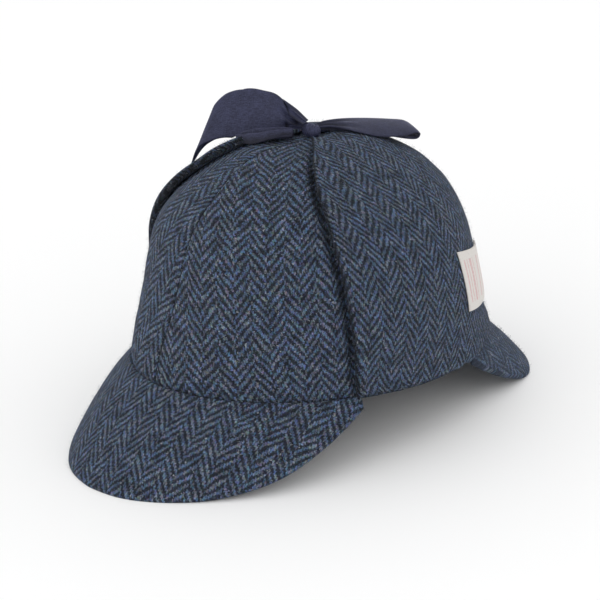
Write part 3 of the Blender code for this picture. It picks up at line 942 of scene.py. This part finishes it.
def label_material(sizes, finish):
    """Woven label: fine ribs, and plain rules along it that stand for nothing."""
    found = bpy.data.materials.get("label_weave")
    if found:
        return found
    material, graph, shader = cloth_material("label_weave", 0.85, 0.15, 0.5, (1.0, 1.0, 1.0))
    place = graph.cloth_place()
    across, up, _ = graph.split(place)
    ribs = graph.threads(up, LABEL_RIBS)
    grain = graph.noise(place, 1800.0, 2.0)
    colour = graph.dim(rgba(finish.label_colour), graph.ramp(ribs, -1.0, 1.0, 0.90, 1.02))
    colour = graph.dim(colour, graph.ramp(grain, 0.3, 0.7, 0.93, 1.03))
    inside_up = graph.math("LESS_THAN", graph.math("ABSOLUTE", up), sizes.label_height * 0.36)
    worn = graph.ramp(graph.noise(place, 900.0), 0.25, 0.6)
    for offset, width in LABEL_RULES:
        away = graph.math("ABSOLUTE", graph.minus(across, offset))
        on_rule = graph.math("LESS_THAN", away, width / 2)
        covered = graph.times(graph.times(on_rule, inside_up), worn)
        colour = graph.blend(graph.times(covered, 0.75), colour, finish.label_rule_colour)
    graph.put(colour, shader.inputs["Base Color"])
    add_bump(graph, shader, graph.plus(ribs, grain), 0.4, 0.0001)
    return material


# Loose fibres, by geometry nodes


def fibre_tree():
    """Short curved fibres scattered over a cloth face, lying close to it."""
    found = bpy.data.node_groups.get("loose_fibres")
    if found:
        return found
    tree = bpy.data.node_groups.new("loose_fibres", "GeometryNodeTree")
    for name, way, kind in FIBRE_SOCKETS:
        tree.interface.new_socket(name, in_out=way, socket_type="NodeSocket" + kind)
    graph = Graph(tree)
    given = graph.node("NodeGroupInput").outputs
    seed = given["Seed"]
    scatter = graph.node("GeometryNodeDistributePointsOnFaces", {
        "Mesh": given["Geometry"], "Density": given["Density"], "Seed": seed})

    strand = graph.node("GeometryNodeCurvePrimitiveBezierSegment", {
        "Resolution": 3, "Start": (0.0, 0.0, -0.05), "Start Handle": (0.0, 0.0, 0.35),
        "End Handle": (0.12, 0.25, 0.7), "End": (0.0, 0.55, 0.8)})
    sized = graph.node("GeometryNodeTransform", {
        "Geometry": strand.outputs[0],
        "Scale": graph.pair(given["Length"], given["Length"], given["Length"])})
    along = graph.node("GeometryNodeSplineParameter").outputs["Factor"]
    taper = graph.node("GeometryNodeSetCurveRadius", {
        "Curve": sized.outputs[0],
        "Radius": graph.minus(1.0, graph.times(along, 0.7))})
    ring = graph.node("GeometryNodeCurvePrimitiveCircle", {
        "Resolution": 3, "Radius": given["Radius"]})
    tube = graph.node("GeometryNodeCurveToMesh", {
        "Curve": taper.outputs[0], "Profile Curve": ring.outputs[0], "Fill Caps": True})

    spin = graph.node("FunctionNodeRandomValue", {
        "Min": (0.0, 0.0, 0.0), "Max": (0.0, 0.0, 2 * math.pi),
        "Seed": graph.plus(seed, 1.0)}, data_type="FLOAT_VECTOR")
    tilt = graph.node("FunctionNodeRandomValue", {
        "Min": (math.radians(48), 0.0, 0.0), "Max": (math.radians(88), 0.3, 0.0),
        "Seed": seed}, data_type="FLOAT_VECTOR")
    turned = scatter.outputs["Rotation"]
    for amount in (spin, tilt):
        angle = graph.node("FunctionNodeEulerToRotation", {0: amount.outputs[0]})
        turned = graph.node("FunctionNodeRotateRotation", {
            "Rotation": turned, "Rotate By": angle.outputs[0]},
            rotation_space="LOCAL").outputs[0]
    size = graph.node("FunctionNodeRandomValue", {
        2: 0.35, 3: 1.0, "Seed": graph.plus(seed, 2.0)}, data_type="FLOAT")
    tone = graph.node("FunctionNodeRandomValue", {
        "Seed": graph.plus(seed, 3.0)}, data_type="FLOAT")
    copies = graph.node("GeometryNodeInstanceOnPoints", {
        "Points": scatter.outputs["Points"], "Instance": tube.outputs[0], "Rotation": turned,
        "Scale": size.outputs[1]})
    keep = graph.node("GeometryNodeStoreNamedAttribute", {
        "Geometry": copies.outputs[0], "Name": "tone"}, data_type="FLOAT", domain="INSTANCE")
    graph.put(tone.outputs[1], keep.inputs["Value"])
    real = graph.node("GeometryNodeRealizeInstances", {"Geometry": keep.outputs[0]})
    painted = graph.node("GeometryNodeSetMaterial", {
        "Geometry": real.outputs[0], "Material": given["Material"]})
    graph.node("NodeGroupOutput", {0: painted.outputs[0]})
    return tree


def applied_tree(context, source, tree, values, name):
    """Plain mesh that a geometry node tree makes from a source mesh."""
    holder = linked(context, name, source)
    modifier = holder.modifiers.new(name, "NODES")
    modifier.node_group = tree
    for item in tree.interface.items_tree:
        if item.in_out == "INPUT" and item.name in values:
            modifier[item.identifier] = values[item.name]
    context.view_layer.update()
    depsgraph = context.evaluated_depsgraph_get()
    mesh = bpy.data.meshes.new_from_object(holder.evaluated_get(depsgraph), depsgraph=depsgraph)
    bpy.data.objects.remove(holder)
    return mesh


def grid_mesh(name, points):
    """Open mesh of a grid of points."""
    mesh = bpy.data.meshes.new(name)
    mesh.from_pydata(points.reshape(-1, 3).tolist(), [], grid_quads(*points.shape[:2]).tolist())
    return mesh


def add_fibres(context, name, outer, seed):
    """Loose fibres over a cloth's outer face."""
    finish = context.scene.deerstalker_finish
    source = grid_mesh(name + "_source", outer)
    source.transform(hat_place(context.scene.deerstalker_sizes))
    values = {"Density": finish.fibre_density, "Length": finish.fibre_length,
              "Radius": finish.fibre_radius, "Seed": seed,
              "Material": fibre_material(finish)}
    mesh = applied_tree(context, source, fibre_tree(), values, name)
    mesh.name = name
    piece = linked(context, name, mesh)
    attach(piece, "root")


def tweed_piece(context, node, grids, tweed, seed):
    """Tweed that stands for a node of the frame, with its fibres."""
    mesh = wall_mesh(node + "_cloth", *grids)
    piece = add_piece(context, node, mesh, tweed)
    add_fibres(context, node + "_fibres", grids[0], seed)


# Crown


def crown_panel_grids(sizes, first_turn, grain, seed):
    """Both faces of one panel, where each point lies on the flat cloth, and its painted shade at
    the flap's edge, the seams and the rim.
    """
    shares_up, _ = rolled_shares(CROWN_ROWS, CROWN_ROLLS[0])
    shares_round, full_round = rolled_shares(CROWN_COLUMNS, CROWN_ROLLS[1])
    share = shares_up[:, None] * np.ones_like(shares_round)
    turn = first_turn + math.pi / 2 * shares_round[None, :] * np.ones_like(share)
    normal = crown_normal(sizes, share, turn)
    face = crown_face(sizes, share, turn)
    half = sizes.crown_wall / 2
    middle = face - normal * half
    full = full_round[None, :, None]
    swell = swells(middle, CROWN_SWELLS, seed)
    swell = swell * np.minimum(1, 12 * np.minimum(shares_round, 1 - shares_round))[None, :]
    crease_and_painted_shade = flap_crease(sizes, share, turn)
    pucker = seam_pucker(sizes, shares_up, turn) - HOLLOW_DEPTH * crease_and_painted_shade
    tuck = np.exp(-shares_up / TUCK_SHARE)[:, None, None]
    shift = normal * ((swell + pucker)[..., None] - TUCK_IN * tuck) - UP * TUCK_DOWN * tuck
    outer = middle + normal * half * full + shift
    inner = middle - normal * half * full + shift
    from_front = np.abs((turn[:1, 1:] + math.pi / 2 + math.pi) % (2 * math.pi) - math.pi)
    ease = np.interp(np.degrees(from_front), *zip(*PANEL_EASE))
    cloth = laid_flat(outer, len(shares_round) // 2, ease, grain, PANEL_SHIFT)
    # Painted shade along the seams between panels, along the rim and in the hollow at the flap's
    # edge
    from_side = np.minimum(shares_round, 1 - shares_round)[None, :] * PANEL_REACH
    painted_seam_shade = np.maximum(faded(SEAM_SHADE, from_side), faded(RIM_SHADE, shares_up[:, None]))
    return outer, inner, cloth, np.maximum(HOLLOW_SHADE * crease_and_painted_shade, painted_seam_shade)


def flap_crease(sizes, share, turn):
    """Share of a hollow in the crown along the front edge of each flap, which also sets the
    painted shade there.
    """
    table = np.array(FLAP_EDGES)
    height = (share - sizes.flap_hem_share) / (sizes.flap_top_share - sizes.flap_hem_share)
    left = np.radians(np.interp(height, table[:, 0], table[:, 1]))
    right = math.pi - np.radians(np.interp(height, table[:, 0], table[:, 3]))
    depth = np.zeros_like(turn)
    for edge, forward in ((left, -1), (right, 1)):
        off = (turn - edge + math.pi) % (2 * math.pi) - math.pi
        off = forward * off * sizes.rim_half_width * (1 - height * 0.7) - HOLLOW_OFF
        depth = depth + bump_at(off, HOLLOW_REACH)
    return depth * np.clip(height * 6, 0, 1) * np.clip((1 - height) * 5, 0, 1)


def seam_pucker(sizes, shares_up, turn):
    """Small gathers along the rim, where the crown is sewn to the peaks."""
    reach = np.exp(-shares_up / GATHER_SHARE)[:, None]
    run = turn * sizes.rim_half_length
    ripple = np.sin(run / GATHER_RUN + 2.0 * np.sin(run / GATHER_DRIFT)) * GATHER_HEIGHT
    return ripple * reach * np.minimum(1, shares_up / 0.004)[:, None] - GATHER_DRAW * reach


class DEERSTALKER_OT_crown(bpy.types.Operator):
    """Make the crown's four panels of tweed"""

    bl_idname = "deerstalker.crown"
    bl_label = "Crown"

    def execute(self, context):
        sizes, finish = context.scene.deerstalker_sizes, context.scene.deerstalker_finish
        for number, (node, first_turn, grain) in enumerate(CROWN_PANELS):
            grids = crown_panel_grids(sizes, first_turn, grain, CROWN_SEEDS[0] + number)
            tweed = tweed_material(f"crown_tweed_{number + 1}", finish, float(number), CROWN_TONE_AND_PAINTED_SHADE)
            tweed_piece(context, node, grids, tweed, CROWN_SEEDS[1] + 10 * number)
        return {"FINISHED"}


# Peaks


def peak_grids(sizes, sections, half_span, width, camber, middle_turn, grain, seed):
    """Upper and lower faces of a peak, and where each point lies on the flat cloth."""
    shares_out, full_out = rolled_shares(PEAK_ROWS, PEAK_ROLLS[0])
    shares_across, full_across = rolled_shares(PEAK_COLUMNS, PEAK_ROLLS[1])
    across = 2 * shares_across - 1
    section = smooth_rows(sections, np.abs(across) * (len(sections) - 1))
    span, spread, droop = np.moveaxis(section, -1, 0)
    turn = middle_turn + np.sign(across) * span * half_span
    outward = np.stack((sizes.rim_half_width * np.cos(turn),
                        sizes.rim_half_length * np.sin(turn), np.zeros_like(turn)), axis=-1)
    root = outward + UP * (rim_rise(sizes, turn) - sizes.seam_gap)[:, None]
    outward = unit(outward)
    droop = np.radians(droop)[:, None]
    reach = (width * spread)[:, None]
    edge = root + outward * reach * np.cos(droop) - UP * reach * np.sin(droop)
    normal = outward * np.sin(droop) + UP * np.cos(droop)
    bulge = camber * np.minimum(1.0, reach / (0.5 * width))
    part = shares_out[None, :, None]
    run = (edge - root)[:, None, :]
    skin = root[:, None, :] + run * part + (normal * bulge)[:, None, :] * 4 * part * (1 - part)
    normals = np.repeat(normal[:, None, :], len(shares_out), axis=1)
    half = sizes.peak_thick / 2
    middle = skin - normals * half
    full_out = np.where(shares_out < 0.5, 0.3 + 0.7 * full_out, full_out)
    full = thickness(full_across, full_out)
    swell = swells(middle, PEAK_SWELLS, seed)[..., None]
    outer = middle + normals * (half * full + swell)
    inner = middle - normals * (half * full - swell)
    flat_root, flat_edge = unrolled(root, edge)
    cloth = flat_root[:, None, :] + (flat_edge - flat_root)[:, None, :] * part
    return outer, inner, on_grain(cloth, grain)


def unrolled(root, edge):
    """Lay the strip between a root line and an edge line flat, from its middle outward."""
    count = len(root)
    centre = count // 2
    flat_root, flat_edge = np.zeros((count, 2)), np.zeros((count, 2))
    flat_edge[centre] = (0.0, -np.linalg.norm(edge[centre] - root[centre]))
    for step in (1, -1):
        for here in range(centre + step, count if step > 0 else -1, step):
            last = here - step
            flat_root[here] = meet(flat_root[last], flat_edge[last],
                                   np.linalg.norm(root[here] - root[last]),
                                   np.linalg.norm(root[here] - edge[last]), step)
            flat_edge[here] = meet(flat_root[here], flat_edge[last],
                                   np.linalg.norm(edge[here] - root[here]),
                                   np.linalg.norm(edge[here] - edge[last]), step)
    return flat_root, flat_edge


def meet(first, second, from_first, from_second, side):
    """The point at given distances from two others, on the given side of their line."""
    way = second - first
    apart = max(float(np.linalg.norm(way)), 1e-9)
    way = way / apart
    along = (from_first ** 2 - from_second ** 2 + apart ** 2) / (2 * apart)
    off = math.sqrt(max(from_first ** 2 - along ** 2, 0.0))
    return first + way * along + side * off * np.array((-way[1], way[0]))


def press_down(points, place):
    """Points that would lie under the floor come up to it."""
    turned = np.array(place.to_3x3())
    world = points @ turned.T + np.array(place.translation)
    world[..., 2] = np.maximum(world[..., 2], 0.0)
    return (world - np.array(place.translation)) @ turned


class DEERSTALKER_OT_peaks(bpy.types.Operator):
    """Make the front and back peaks"""

    bl_idname = "deerstalker.peaks"
    bl_label = "Peaks"

    def execute(self, context):
        sizes, finish = context.scene.deerstalker_sizes, context.scene.deerstalker_finish
        place = hat_place(sizes)
        front = (FRONT_PEAK_SECTIONS, sizes.front_peak_half_span, sizes.front_peak_width,
                 sizes.front_peak_camber, -math.pi / 2, sizes.front_peak_grain)
        back = (BACK_PEAK_SECTIONS, sizes.back_peak_half_span, sizes.back_peak_width,
                sizes.back_peak_camber, math.pi / 2, sizes.back_peak_grain)
        for number, (node, shape) in enumerate((("front_peak", front), ("back_peak", back))):
            outer, inner, cloth = peak_grids(sizes, *shape, PEAK_SEEDS[0] + number)
            grids = (press_down(outer, place), press_down(inner, place), cloth)
            tweed = tweed_material(f"peak_tweed_{number + 1}", finish, 6.0 + number, PEAK_TONE_AND_PAINTED_SHADE,
                                   BACK_PEAK_FUZZ * number)
            tweed_piece(context, node, grids, tweed, PEAK_SEEDS[1] + 10 * number)
        return {"FINISHED"}


# Ear flaps


def flap_grids(sizes, side, seed):
    """Both faces of a flap that lies up against the crown, its flat cloth and the painted shade
    along its front edge.
    """
    shares_up, full_up = rolled_shares(FLAP_ROWS, FLAP_ROLLS[0])
    shares_round, full_round = rolled_shares(FLAP_COLUMNS, FLAP_ROLLS[1])
    table = np.array(FLAP_EDGES)
    first = 1 if side > 0 else 3
    front = np.interp(shares_up, table[:, 0], table[:, first])[:, None]
    back = np.interp(shares_up, table[:, 0], table[:, first + 1])[:, None]
    turn = np.radians(front + (back - front) * shares_round[None, :])
    run = sizes.flap_top_share - sizes.flap_hem_share
    share = sizes.flap_hem_share + shares_up[:, None] * run * np.ones_like(turn)
    normal = crown_normal(sizes, share, turn)
    face = crown_face(sizes, share, turn)
    half = sizes.flap_thick / 2
    middle = face + normal * (sizes.flap_stand + half)
    hem = np.exp(-shares_up / HEM_SHARE)[:, None]
    around_rim = turn * sizes.rim_half_length
    drop = (np.sin(around_rim / HEM_WAVE + 1.6 * np.sin(around_rim / HEM_DRIFT + seed))
            + 0.5 * np.sin(around_rim / HEM_SHORT_WAVE + seed)) * HEM_DROP
    middle = middle - UP * (drop * hem)[..., None]
    full = thickness(full_up, full_round)
    from_front = shares_round[None, :] * FLAP_REACH
    roll_height, roll_at, roll_reach = EDGE_ROLL
    swell = (np.maximum(swells(middle, FLAP_SWELLS, seed), FLAP_DIP)
             + roll_height * bump_at(from_front - roll_at, roll_reach))
    outer = middle + normal * (half + swell[..., None]) * full
    inner = middle - normal * half * full
    cloth = laid_flat(outer, len(shares_round) // 3, sizes.flap_ease, sizes.flap_grain)
    # Painted shade along the flap's front edge
    edge_depth, edge_reach = FLAP_EDGE_SHADE
    crease_and_painted_shade = edge_depth * bump_at(from_front, edge_reach) * np.ones_like(turn)
    if side < 0:
        flip = np.array((-1.0, 1.0, 1.0))
        outer, inner, cloth = outer * flip, inner * flip, cloth * flip[:2]
        return outer[:, ::-1], inner[:, ::-1], cloth[:, ::-1], crease_and_painted_shade[:, ::-1]
    return outer, inner, cloth, crease_and_painted_shade


class DEERSTALKER_OT_flaps(bpy.types.Operator):
    """Make the two ear flaps"""

    bl_idname = "deerstalker.flaps"
    bl_label = "Ear Flaps"

    def execute(self, context):
        sizes, finish = context.scene.deerstalker_sizes, context.scene.deerstalker_finish
        for number, (hand, side) in enumerate((("left", 1), ("right", -1))):
            grids = flap_grids(sizes, side, FLAP_SEEDS[0] + number)
            tweed = tweed_material(f"flap_tweed_{number + 1}", finish, 9.0 + number, FLAP_TONE_AND_PAINTED_SHADE)
            tweed_piece(context, hand + "_ear_flap", grids, tweed,
                        FLAP_SEEDS[1] + 10 * number)
        return {"FINISHED"}


# Label


class DEERSTALKER_OT_label(bpy.types.Operator):
    """Make the woven label on the left flap"""

    bl_idname = "deerstalker.label"
    bl_label = "Label"

    def execute(self, context):
        sizes, finish = context.scene.deerstalker_sizes, context.scene.deerstalker_finish
        outer, inner, cloth = label_grids(sizes)
        mesh = wall_mesh("label_cloth", outer, inner, cloth)
        piece = add_piece(context, "label", mesh, label_material(sizes, finish))
        return {"FINISHED"}


def label_grids(sizes):
    """Both faces of the label where it lies on the flap, and its flat cloth."""
    shares = np.linspace(0, 1, 400)
    heights = crown_face(sizes, shares, sizes.label_turn)[:, 2]
    share = float(np.interp(sizes.label_height_up, heights, shares))
    here = crown_face(sizes, share, sizes.label_turn)
    around = np.linalg.norm(crown_face(sizes, share, sizes.label_turn + SHARE_STEP) - here)
    along = np.linalg.norm(crown_face(sizes, share + SHARE_STEP, sizes.label_turn) - here)
    shares_up, full_up = rolled_shares(LABEL_ROWS, LABEL_ROLLS[0])
    shares_round, full_round = rolled_shares(LABEL_COLUMNS, LABEL_ROLLS[1])
    flat_up = sizes.label_height * (shares_up - 0.5)[:, None]
    side = sizes.label_length * (shares_round - 0.5)[None, :]
    side = side - flat_up * math.tan(sizes.label_lean)
    flat_up = flat_up * np.ones_like(side)
    up = flat_up - (side + sizes.label_length / 2) * math.tan(sizes.label_tilt)
    turn = sizes.label_turn + side * SHARE_STEP / around
    height = share + up * SHARE_STEP / along
    normal = crown_normal(sizes, height, turn)
    half = sizes.label_thick / 2
    middle = crown_face(sizes, height, turn) + normal * (flap_cover(sizes) + half)
    full = thickness(full_up, full_round)
    lift = np.maximum(0, swells(middle, LABEL_SWELLS, LABEL_SEED))[..., None]
    outer = middle + normal * (half + lift) * full
    inner = middle - normal * (half - lift * 0.5) * full
    flat_side = sizes.label_length * (shares_round - 0.5)[None, :] * np.ones_like(up)
    return outer, inner, np.stack((flat_side, flat_up), axis=-1)


# Ribbon


def knot_centre(sizes):
    """Middle of the knot before it slips."""
    return UP * (sizes.crown_height + sizes.seam_gap + sizes.knot_height / 2)


def knot_slip(sizes):
    """How far the knot has slipped along the flat loop and down on the crown."""
    return way_to(sizes.flat_loop_heading) * KNOT_SLIP[0] - UP * KNOT_SLIP[1]


def loop_stations(sizes, path, reach, heading, on_edge):
    """Centres, half widths, faces and spread along a loop that leaves the knot and returns."""
    out = way_to(heading)
    side = np.cross(UP, out)
    rows = smooth_rows(path, np.linspace(0, len(path) - 1, (len(path) - 1) * RIBBON_STEPS + 1))
    centres = knot_centre(sizes) + (rows[:, :1] * out + rows[:, 1:2] * UP
                                    + rows[:, 2:3] * side) * reach
    travel = unit(np.gradient(centres, axis=0))
    lean = np.radians(rows[:, 3:4])
    lean_to = -out if on_edge else side
    spread = UP * np.cos(lean) + lean_to * np.sin(lean)
    spread = spread * rows[:, 4:5] * sizes.ribbon_width / 2
    face = unit(np.cross(travel, spread))
    lift = np.zeros(len(rows))
    for across in (-1, 1):
        for through in (-0.5, 0.5):
            corner = centres + spread * across + face * through * RIBBON_CLEAR
            lift = np.maximum(lift, height_under(sizes, corner, 1.0) - corner[:, 2])
    return centres + UP * lift[:, None], spread, face, rows[:, 4]


def height_under(sizes, point, flap_top):
    """Height of the cloth below points: a flap's up to a share of the crown, then the crown's."""
    share, turn = place_under(sizes, point)
    cover = np.where(share <= flap_top, flap_cover(sizes), sizes.seam_gap)
    return (crown_face(sizes, share, turn)[..., 2]
            + cover / crown_normal(sizes, share, turn)[..., 2])


def tie_stations(sizes):
    """Gathered tie that lies on the right flap and runs in to the knot."""
    count = (len(TIE_PATH) - 1) * RIBBON_STEPS
    rows = smooth_rows(TIE_PATH, np.linspace(0, len(TIE_PATH) - 1, count + 1))
    out = way_to(sizes.tie_heading)
    side = np.cross(UP, out)
    line = (out * rows[:, :1] + side * rows[:, 2:3]) * sizes.tie_reach
    share, turn = place_under(sizes, line)
    normal = crown_normal(sizes, share, turn)
    across = unit(side - normal * (normal @ side)[:, None])
    centres = crown_face(sizes, share, turn) + normal * flap_cover(sizes) * rows[:, 1:2]
    return centres, across * rows[:, 3:4] * sizes.ribbon_width / 2, normal, rows[:, 3]


def ribbon_grids(sizes, stations, node):
    """Ribbon through its stations, pleated where it's gathered, with painted shade in its pleats
    and folds, and pulled down.
    """
    painted_piece_shade, depth, seed, kept_off = RIBBONS[node]
    centres, spread, face, spread_share = stations
    across = np.linspace(-1, 1, RIBBON_COLUMNS + 1)
    gather = np.clip((PLEATS_FROM - spread_share) / PLEATS_OVER, 0, 1)
    along = np.linspace(0, 1, len(centres))[:, None]
    fold = np.sin(across[None, :] * math.pi * PLEATS + along * 2.0 + seed)
    # Painted shade in the valleys of the pleats, where the ribbon is gathered
    crease_and_painted_shade = gather[:, None] ** 1.5 * (0.40 - 0.40 * fold)
    fold = fold * gather[:, None] * depth
    curl = -RIBBON_CURL * across[None, :] ** 4
    middle = centres[:, None, :] + spread[:, None, :] * across[None, :, None]
    middle = middle + face[:, None, :] * (fold + curl)[..., None]
    middle = middle + face[:, None, :] * swells(middle, RIBBON_SWELLS, seed)[..., None]
    # Deep folds beside the knot: painted shade in them, and the cloth pushed in
    for fold_at, slant, edge, reach, shade in FOLDS[node]:
        bell = bump_at(along - fold_at - slant * across[None, :], reach)
        bell = bell * np.clip(1 - abs(edge) * 0.8 + edge * across[None, :], 0, 1)
        crease_and_painted_shade = np.maximum(crease_and_painted_shade, shade * bell)
        middle = middle + bell[..., None] * np.array(FOLD_IN)
    for pull_at, pull_reach, edge, pull_by in PULLS[node]:
        near_edge = ((1 + edge * across[None, :]) / 2) ** 2
        pulled = bump_at(along - pull_at, pull_reach) * near_edge
        middle = middle + pulled[..., None] * np.array(pull_by)
    if kept_off:
        floor = height_under(sizes, middle, sizes.flap_top_share + PAST_FLAP_TOP)
        middle[..., 2] = np.maximum(middle[..., 2], floor + sizes.ribbon_thick)
    half = sizes.ribbon_thick / 2 * np.sqrt(np.clip(1 - np.abs(across) ** 12, 0, 1))
    outer = middle + face[:, None, :] * half[None, :, None]
    inner = middle - face[:, None, :] * half[None, :, None]
    run = arc_from(middle, 0, 0)[:, RIBBON_COLUMNS // 2][:, None] * np.ones_like(across)
    width = across[None, :] * sizes.ribbon_width / 2 * np.ones_like(run)
    # Painted shade of each point, from its pleats, its folds and the whole piece
    return outer, inner, np.stack((width, run), axis=-1), np.minimum(1, crease_and_painted_shade + painted_piece_shade)


def ribbon_piece(context, node, stations):
    """Piece of ribbon that runs through its stations, cut to its width and length."""
    sizes, finish = context.scene.deerstalker_sizes, context.scene.deerstalker_finish
    outer, inner, cloth, crease_and_painted_shade = ribbon_grids(sizes, stations, node)
    mesh = wall_mesh(node + "_cloth", outer, inner, cloth, crease_and_painted_shade)
    piece = add_piece(context, node, mesh, ribbon_material(finish))


def knot_mesh(sizes):
    """Wrapped knot: ribbon folds that run round the bow, with a cross fold over them."""
    around = np.linspace(0, 2 * math.pi, KNOT_COLUMNS + 1)[None, :]
    along = np.linspace(-1, 1, KNOT_ROWS + 1)[:, None]
    body = np.sqrt(np.clip(1 - np.abs(along) ** KNOT_BLUNT, 0, 1))
    creases = (0.050 * np.sin(along * 9.0 + 0.7 * np.sin(around))
               + 0.030 * np.sin(along * 17.0 - around))
    cross_fold = KNOT_FOLD[0] * bump_at(along - 0.35 * np.sin(around), KNOT_FOLD[1])
    radius = body * (KNOT_BULK + creases * body + cross_fold * body)
    long = along * sizes.knot_length / 2 * np.ones_like(around)
    wide = radius * np.cos(around) * sizes.knot_width / 2
    high = radius * np.sin(around) * sizes.knot_height / 2
    out = way_to(sizes.large_loop_heading)
    points = knot_centre(sizes) + knot_slip(sizes) + (
        long[..., None] * out + wide[..., None] * np.cross(UP, out) + high[..., None] * UP)
    mesh = grid_mesh("bow_knot_cloth", points)
    flat = np.stack((long, around * sizes.knot_height / 2 * np.ones_like(along)), axis=-1)
    add_cloth_map(mesh, flat.reshape(-1, 2))
    weld(mesh)
    return mesh


class DEERSTALKER_OT_bow(bpy.types.Operator):
    """Make the ribbon bow: knot, upright loop, flat loop and gathered tie"""

    bl_idname = "deerstalker.bow"
    bl_label = "Ribbon Bow"

    def execute(self, context):
        sizes, finish = context.scene.deerstalker_sizes, context.scene.deerstalker_finish
        runs = {
            "bow_large_loop": loop_stations(sizes, LARGE_LOOP_PATH, sizes.large_loop_reach,
                                            sizes.large_loop_heading, True),
            "bow_flat_loop": loop_stations(sizes, FLAT_LOOP_PATH, sizes.flat_loop_reach,
                                           sizes.flat_loop_heading, False),
            "right_flap_tie": tie_stations(sizes),
        }
        for node, stations in runs.items():
            ribbon_piece(context, node, stations)
        add_piece(context, "bow_knot", knot_mesh(sizes), ribbon_material(finish))
        return {"FINISHED"}


# Stage


def add_area_light(context, name, place, size, power):
    """Round soft light, aimed at the crown."""
    data = bpy.data.lights.new(name, "AREA")
    data.shape = "DISK"
    data.size = size
    data.energy = power
    light = linked(context, name, data)
    light.location = place
    aim = Vector(LIGHTS_AIM) - Vector(place)
    light.rotation_euler = aim.to_track_quat("-Z", "Y").to_euler()


def add_camera(context, sizes, stage):
    """Camera that sees the rim's middle where the picture has it, with no shift."""
    turn, height = stage.camera_turn, stage.camera_height
    back = Vector((math.sin(turn) * math.cos(height), -math.cos(turn) * math.cos(height),
                   math.sin(height)))
    right = Vector((math.cos(turn), math.sin(turn), 0.0))
    upward = back.cross(right)
    pixels = stage.pixels_per_metre * stage.camera_distance
    middle = stage.picture_size / 2
    aim = (-back * pixels + right * (middle - stage.rim_middle_pixel[0])
           + upward * (stage.rim_middle_pixel[1] - middle))
    place = hat_place(sizes)
    back_axis = -(place.to_3x3() @ aim).normalized()
    right_axis = (place.to_3x3() @ upward).cross(back_axis).normalized()
    up_axis = back_axis.cross(right_axis)
    data = bpy.data.cameras.new("camera")
    data.sensor_width = 36.0
    data.lens = pixels * data.sensor_width / stage.picture_size
    data.clip_start = 0.05
    data.clip_end = 20.0
    camera = linked(context, "camera", data)
    turned = Matrix((right_axis, up_axis, back_axis)).transposed().to_4x4()
    camera.matrix_world = Matrix.Translation(place @ (back * stage.camera_distance)) @ turned
    context.scene.camera = camera


def add_floor(context, stage):
    """Plain pale floor under the hat."""
    mesh = bpy.data.meshes.new("floor")
    ways = ((-1, -1), (1, -1), (1, 1), (-1, 1))
    corners = [(FLOOR_REACH * x, FLOOR_REACH * y, 0) for x, y in ways]
    mesh.from_pydata(corners, [], [(0, 1, 2, 3)])
    material = bpy.data.materials.new("floor")
    material.use_nodes = True
    shader = material.node_tree.nodes["Principled BSDF"]
    shader.inputs["Base Color"].default_value = rgba(stage.floor_colour)
    shader.inputs["Roughness"].default_value = 0.9
    mesh.materials.append(material)
    linked(context, "floor", mesh)


def soft_world(stage):
    """White room that is a little dimmer overhead than around."""
    world = bpy.data.worlds.new("soft_white")
    world.use_nodes = True
    graph = Graph(world.node_tree)
    shade = world.node_tree.nodes["Background"]
    shade.inputs["Color"].default_value = (1, 1, 1, 1)
    _, _, up = graph.split(graph.node("ShaderNodeTexCoord").outputs["Generated"])
    graph.put(graph.ramp(up, 0.10, 0.85, stage.world_around, stage.world_overhead),
              shade.inputs["Strength"])
    return world


class DEERSTALKER_OT_stage(bpy.types.Operator):
    """Make the floor, the lights and the camera"""

    bl_idname = "deerstalker.stage"
    bl_label = "Stage"

    def execute(self, context):
        sizes, stage = context.scene.deerstalker_sizes, context.scene.deerstalker_stage
        add_floor(context, stage)
        add_camera(context, sizes, stage)
        for name, place, size, power in LIGHTS:
            add_area_light(context, name, place, size, power)
        context.scene.world = soft_world(stage)
        context.scene.view_settings.view_transform = "Standard"
        return {"FINISHED"}


class DEERSTALKER_PT_panel(bpy.types.Panel):
    """Pieces of the hat, in the order they are made"""

    bl_idname = "DEERSTALKER_PT_panel"
    bl_label = "Deerstalker"
    bl_space_type = "VIEW_3D"
    bl_region_type = "UI"
    bl_category = "Deerstalker"

    def draw(self, context):
        for maker in MAKERS:
            self.layout.operator(maker.bl_idname)
        for group in (context.scene.deerstalker_sizes, context.scene.deerstalker_finish,
                      context.scene.deerstalker_stage):
            box = self.layout.box()
            for name in group.__annotations__:
                box.prop(group, name)


MAKERS = (DEERSTALKER_OT_peaks, DEERSTALKER_OT_crown, DEERSTALKER_OT_flaps,
          DEERSTALKER_OT_label, DEERSTALKER_OT_bow, DEERSTALKER_OT_stage)
CLASSES = (DEERSTALKER_PG_sizes, DEERSTALKER_PG_finish, DEERSTALKER_PG_stage,
           *MAKERS, DEERSTALKER_PT_panel)


def register():
    """Register the classes and hang the groups on the scene."""
    for entry in CLASSES:
        bpy.utils.register_class(entry)
    bpy.types.Scene.deerstalker_sizes = PointerProperty(type=DEERSTALKER_PG_sizes)
    bpy.types.Scene.deerstalker_finish = PointerProperty(type=DEERSTALKER_PG_finish)
    bpy.types.Scene.deerstalker_stage = PointerProperty(type=DEERSTALKER_PG_stage)


def unregister():
    """Take them all off again."""
    del bpy.types.Scene.deerstalker_sizes
    del bpy.types.Scene.deerstalker_finish
    del bpy.types.Scene.deerstalker_stage
    for entry in reversed(CLASSES):
        bpy.utils.unregister_class(entry)


def main():
    """Make every piece."""
    register()
    bpy.ops.deerstalker.peaks()
    bpy.ops.deerstalker.crown()
    bpy.ops.deerstalker.flaps()
    bpy.ops.deerstalker.label()
    bpy.ops.deerstalker.bow()
    bpy.ops.deerstalker.stage()


if __name__ == "__main__":
    main()
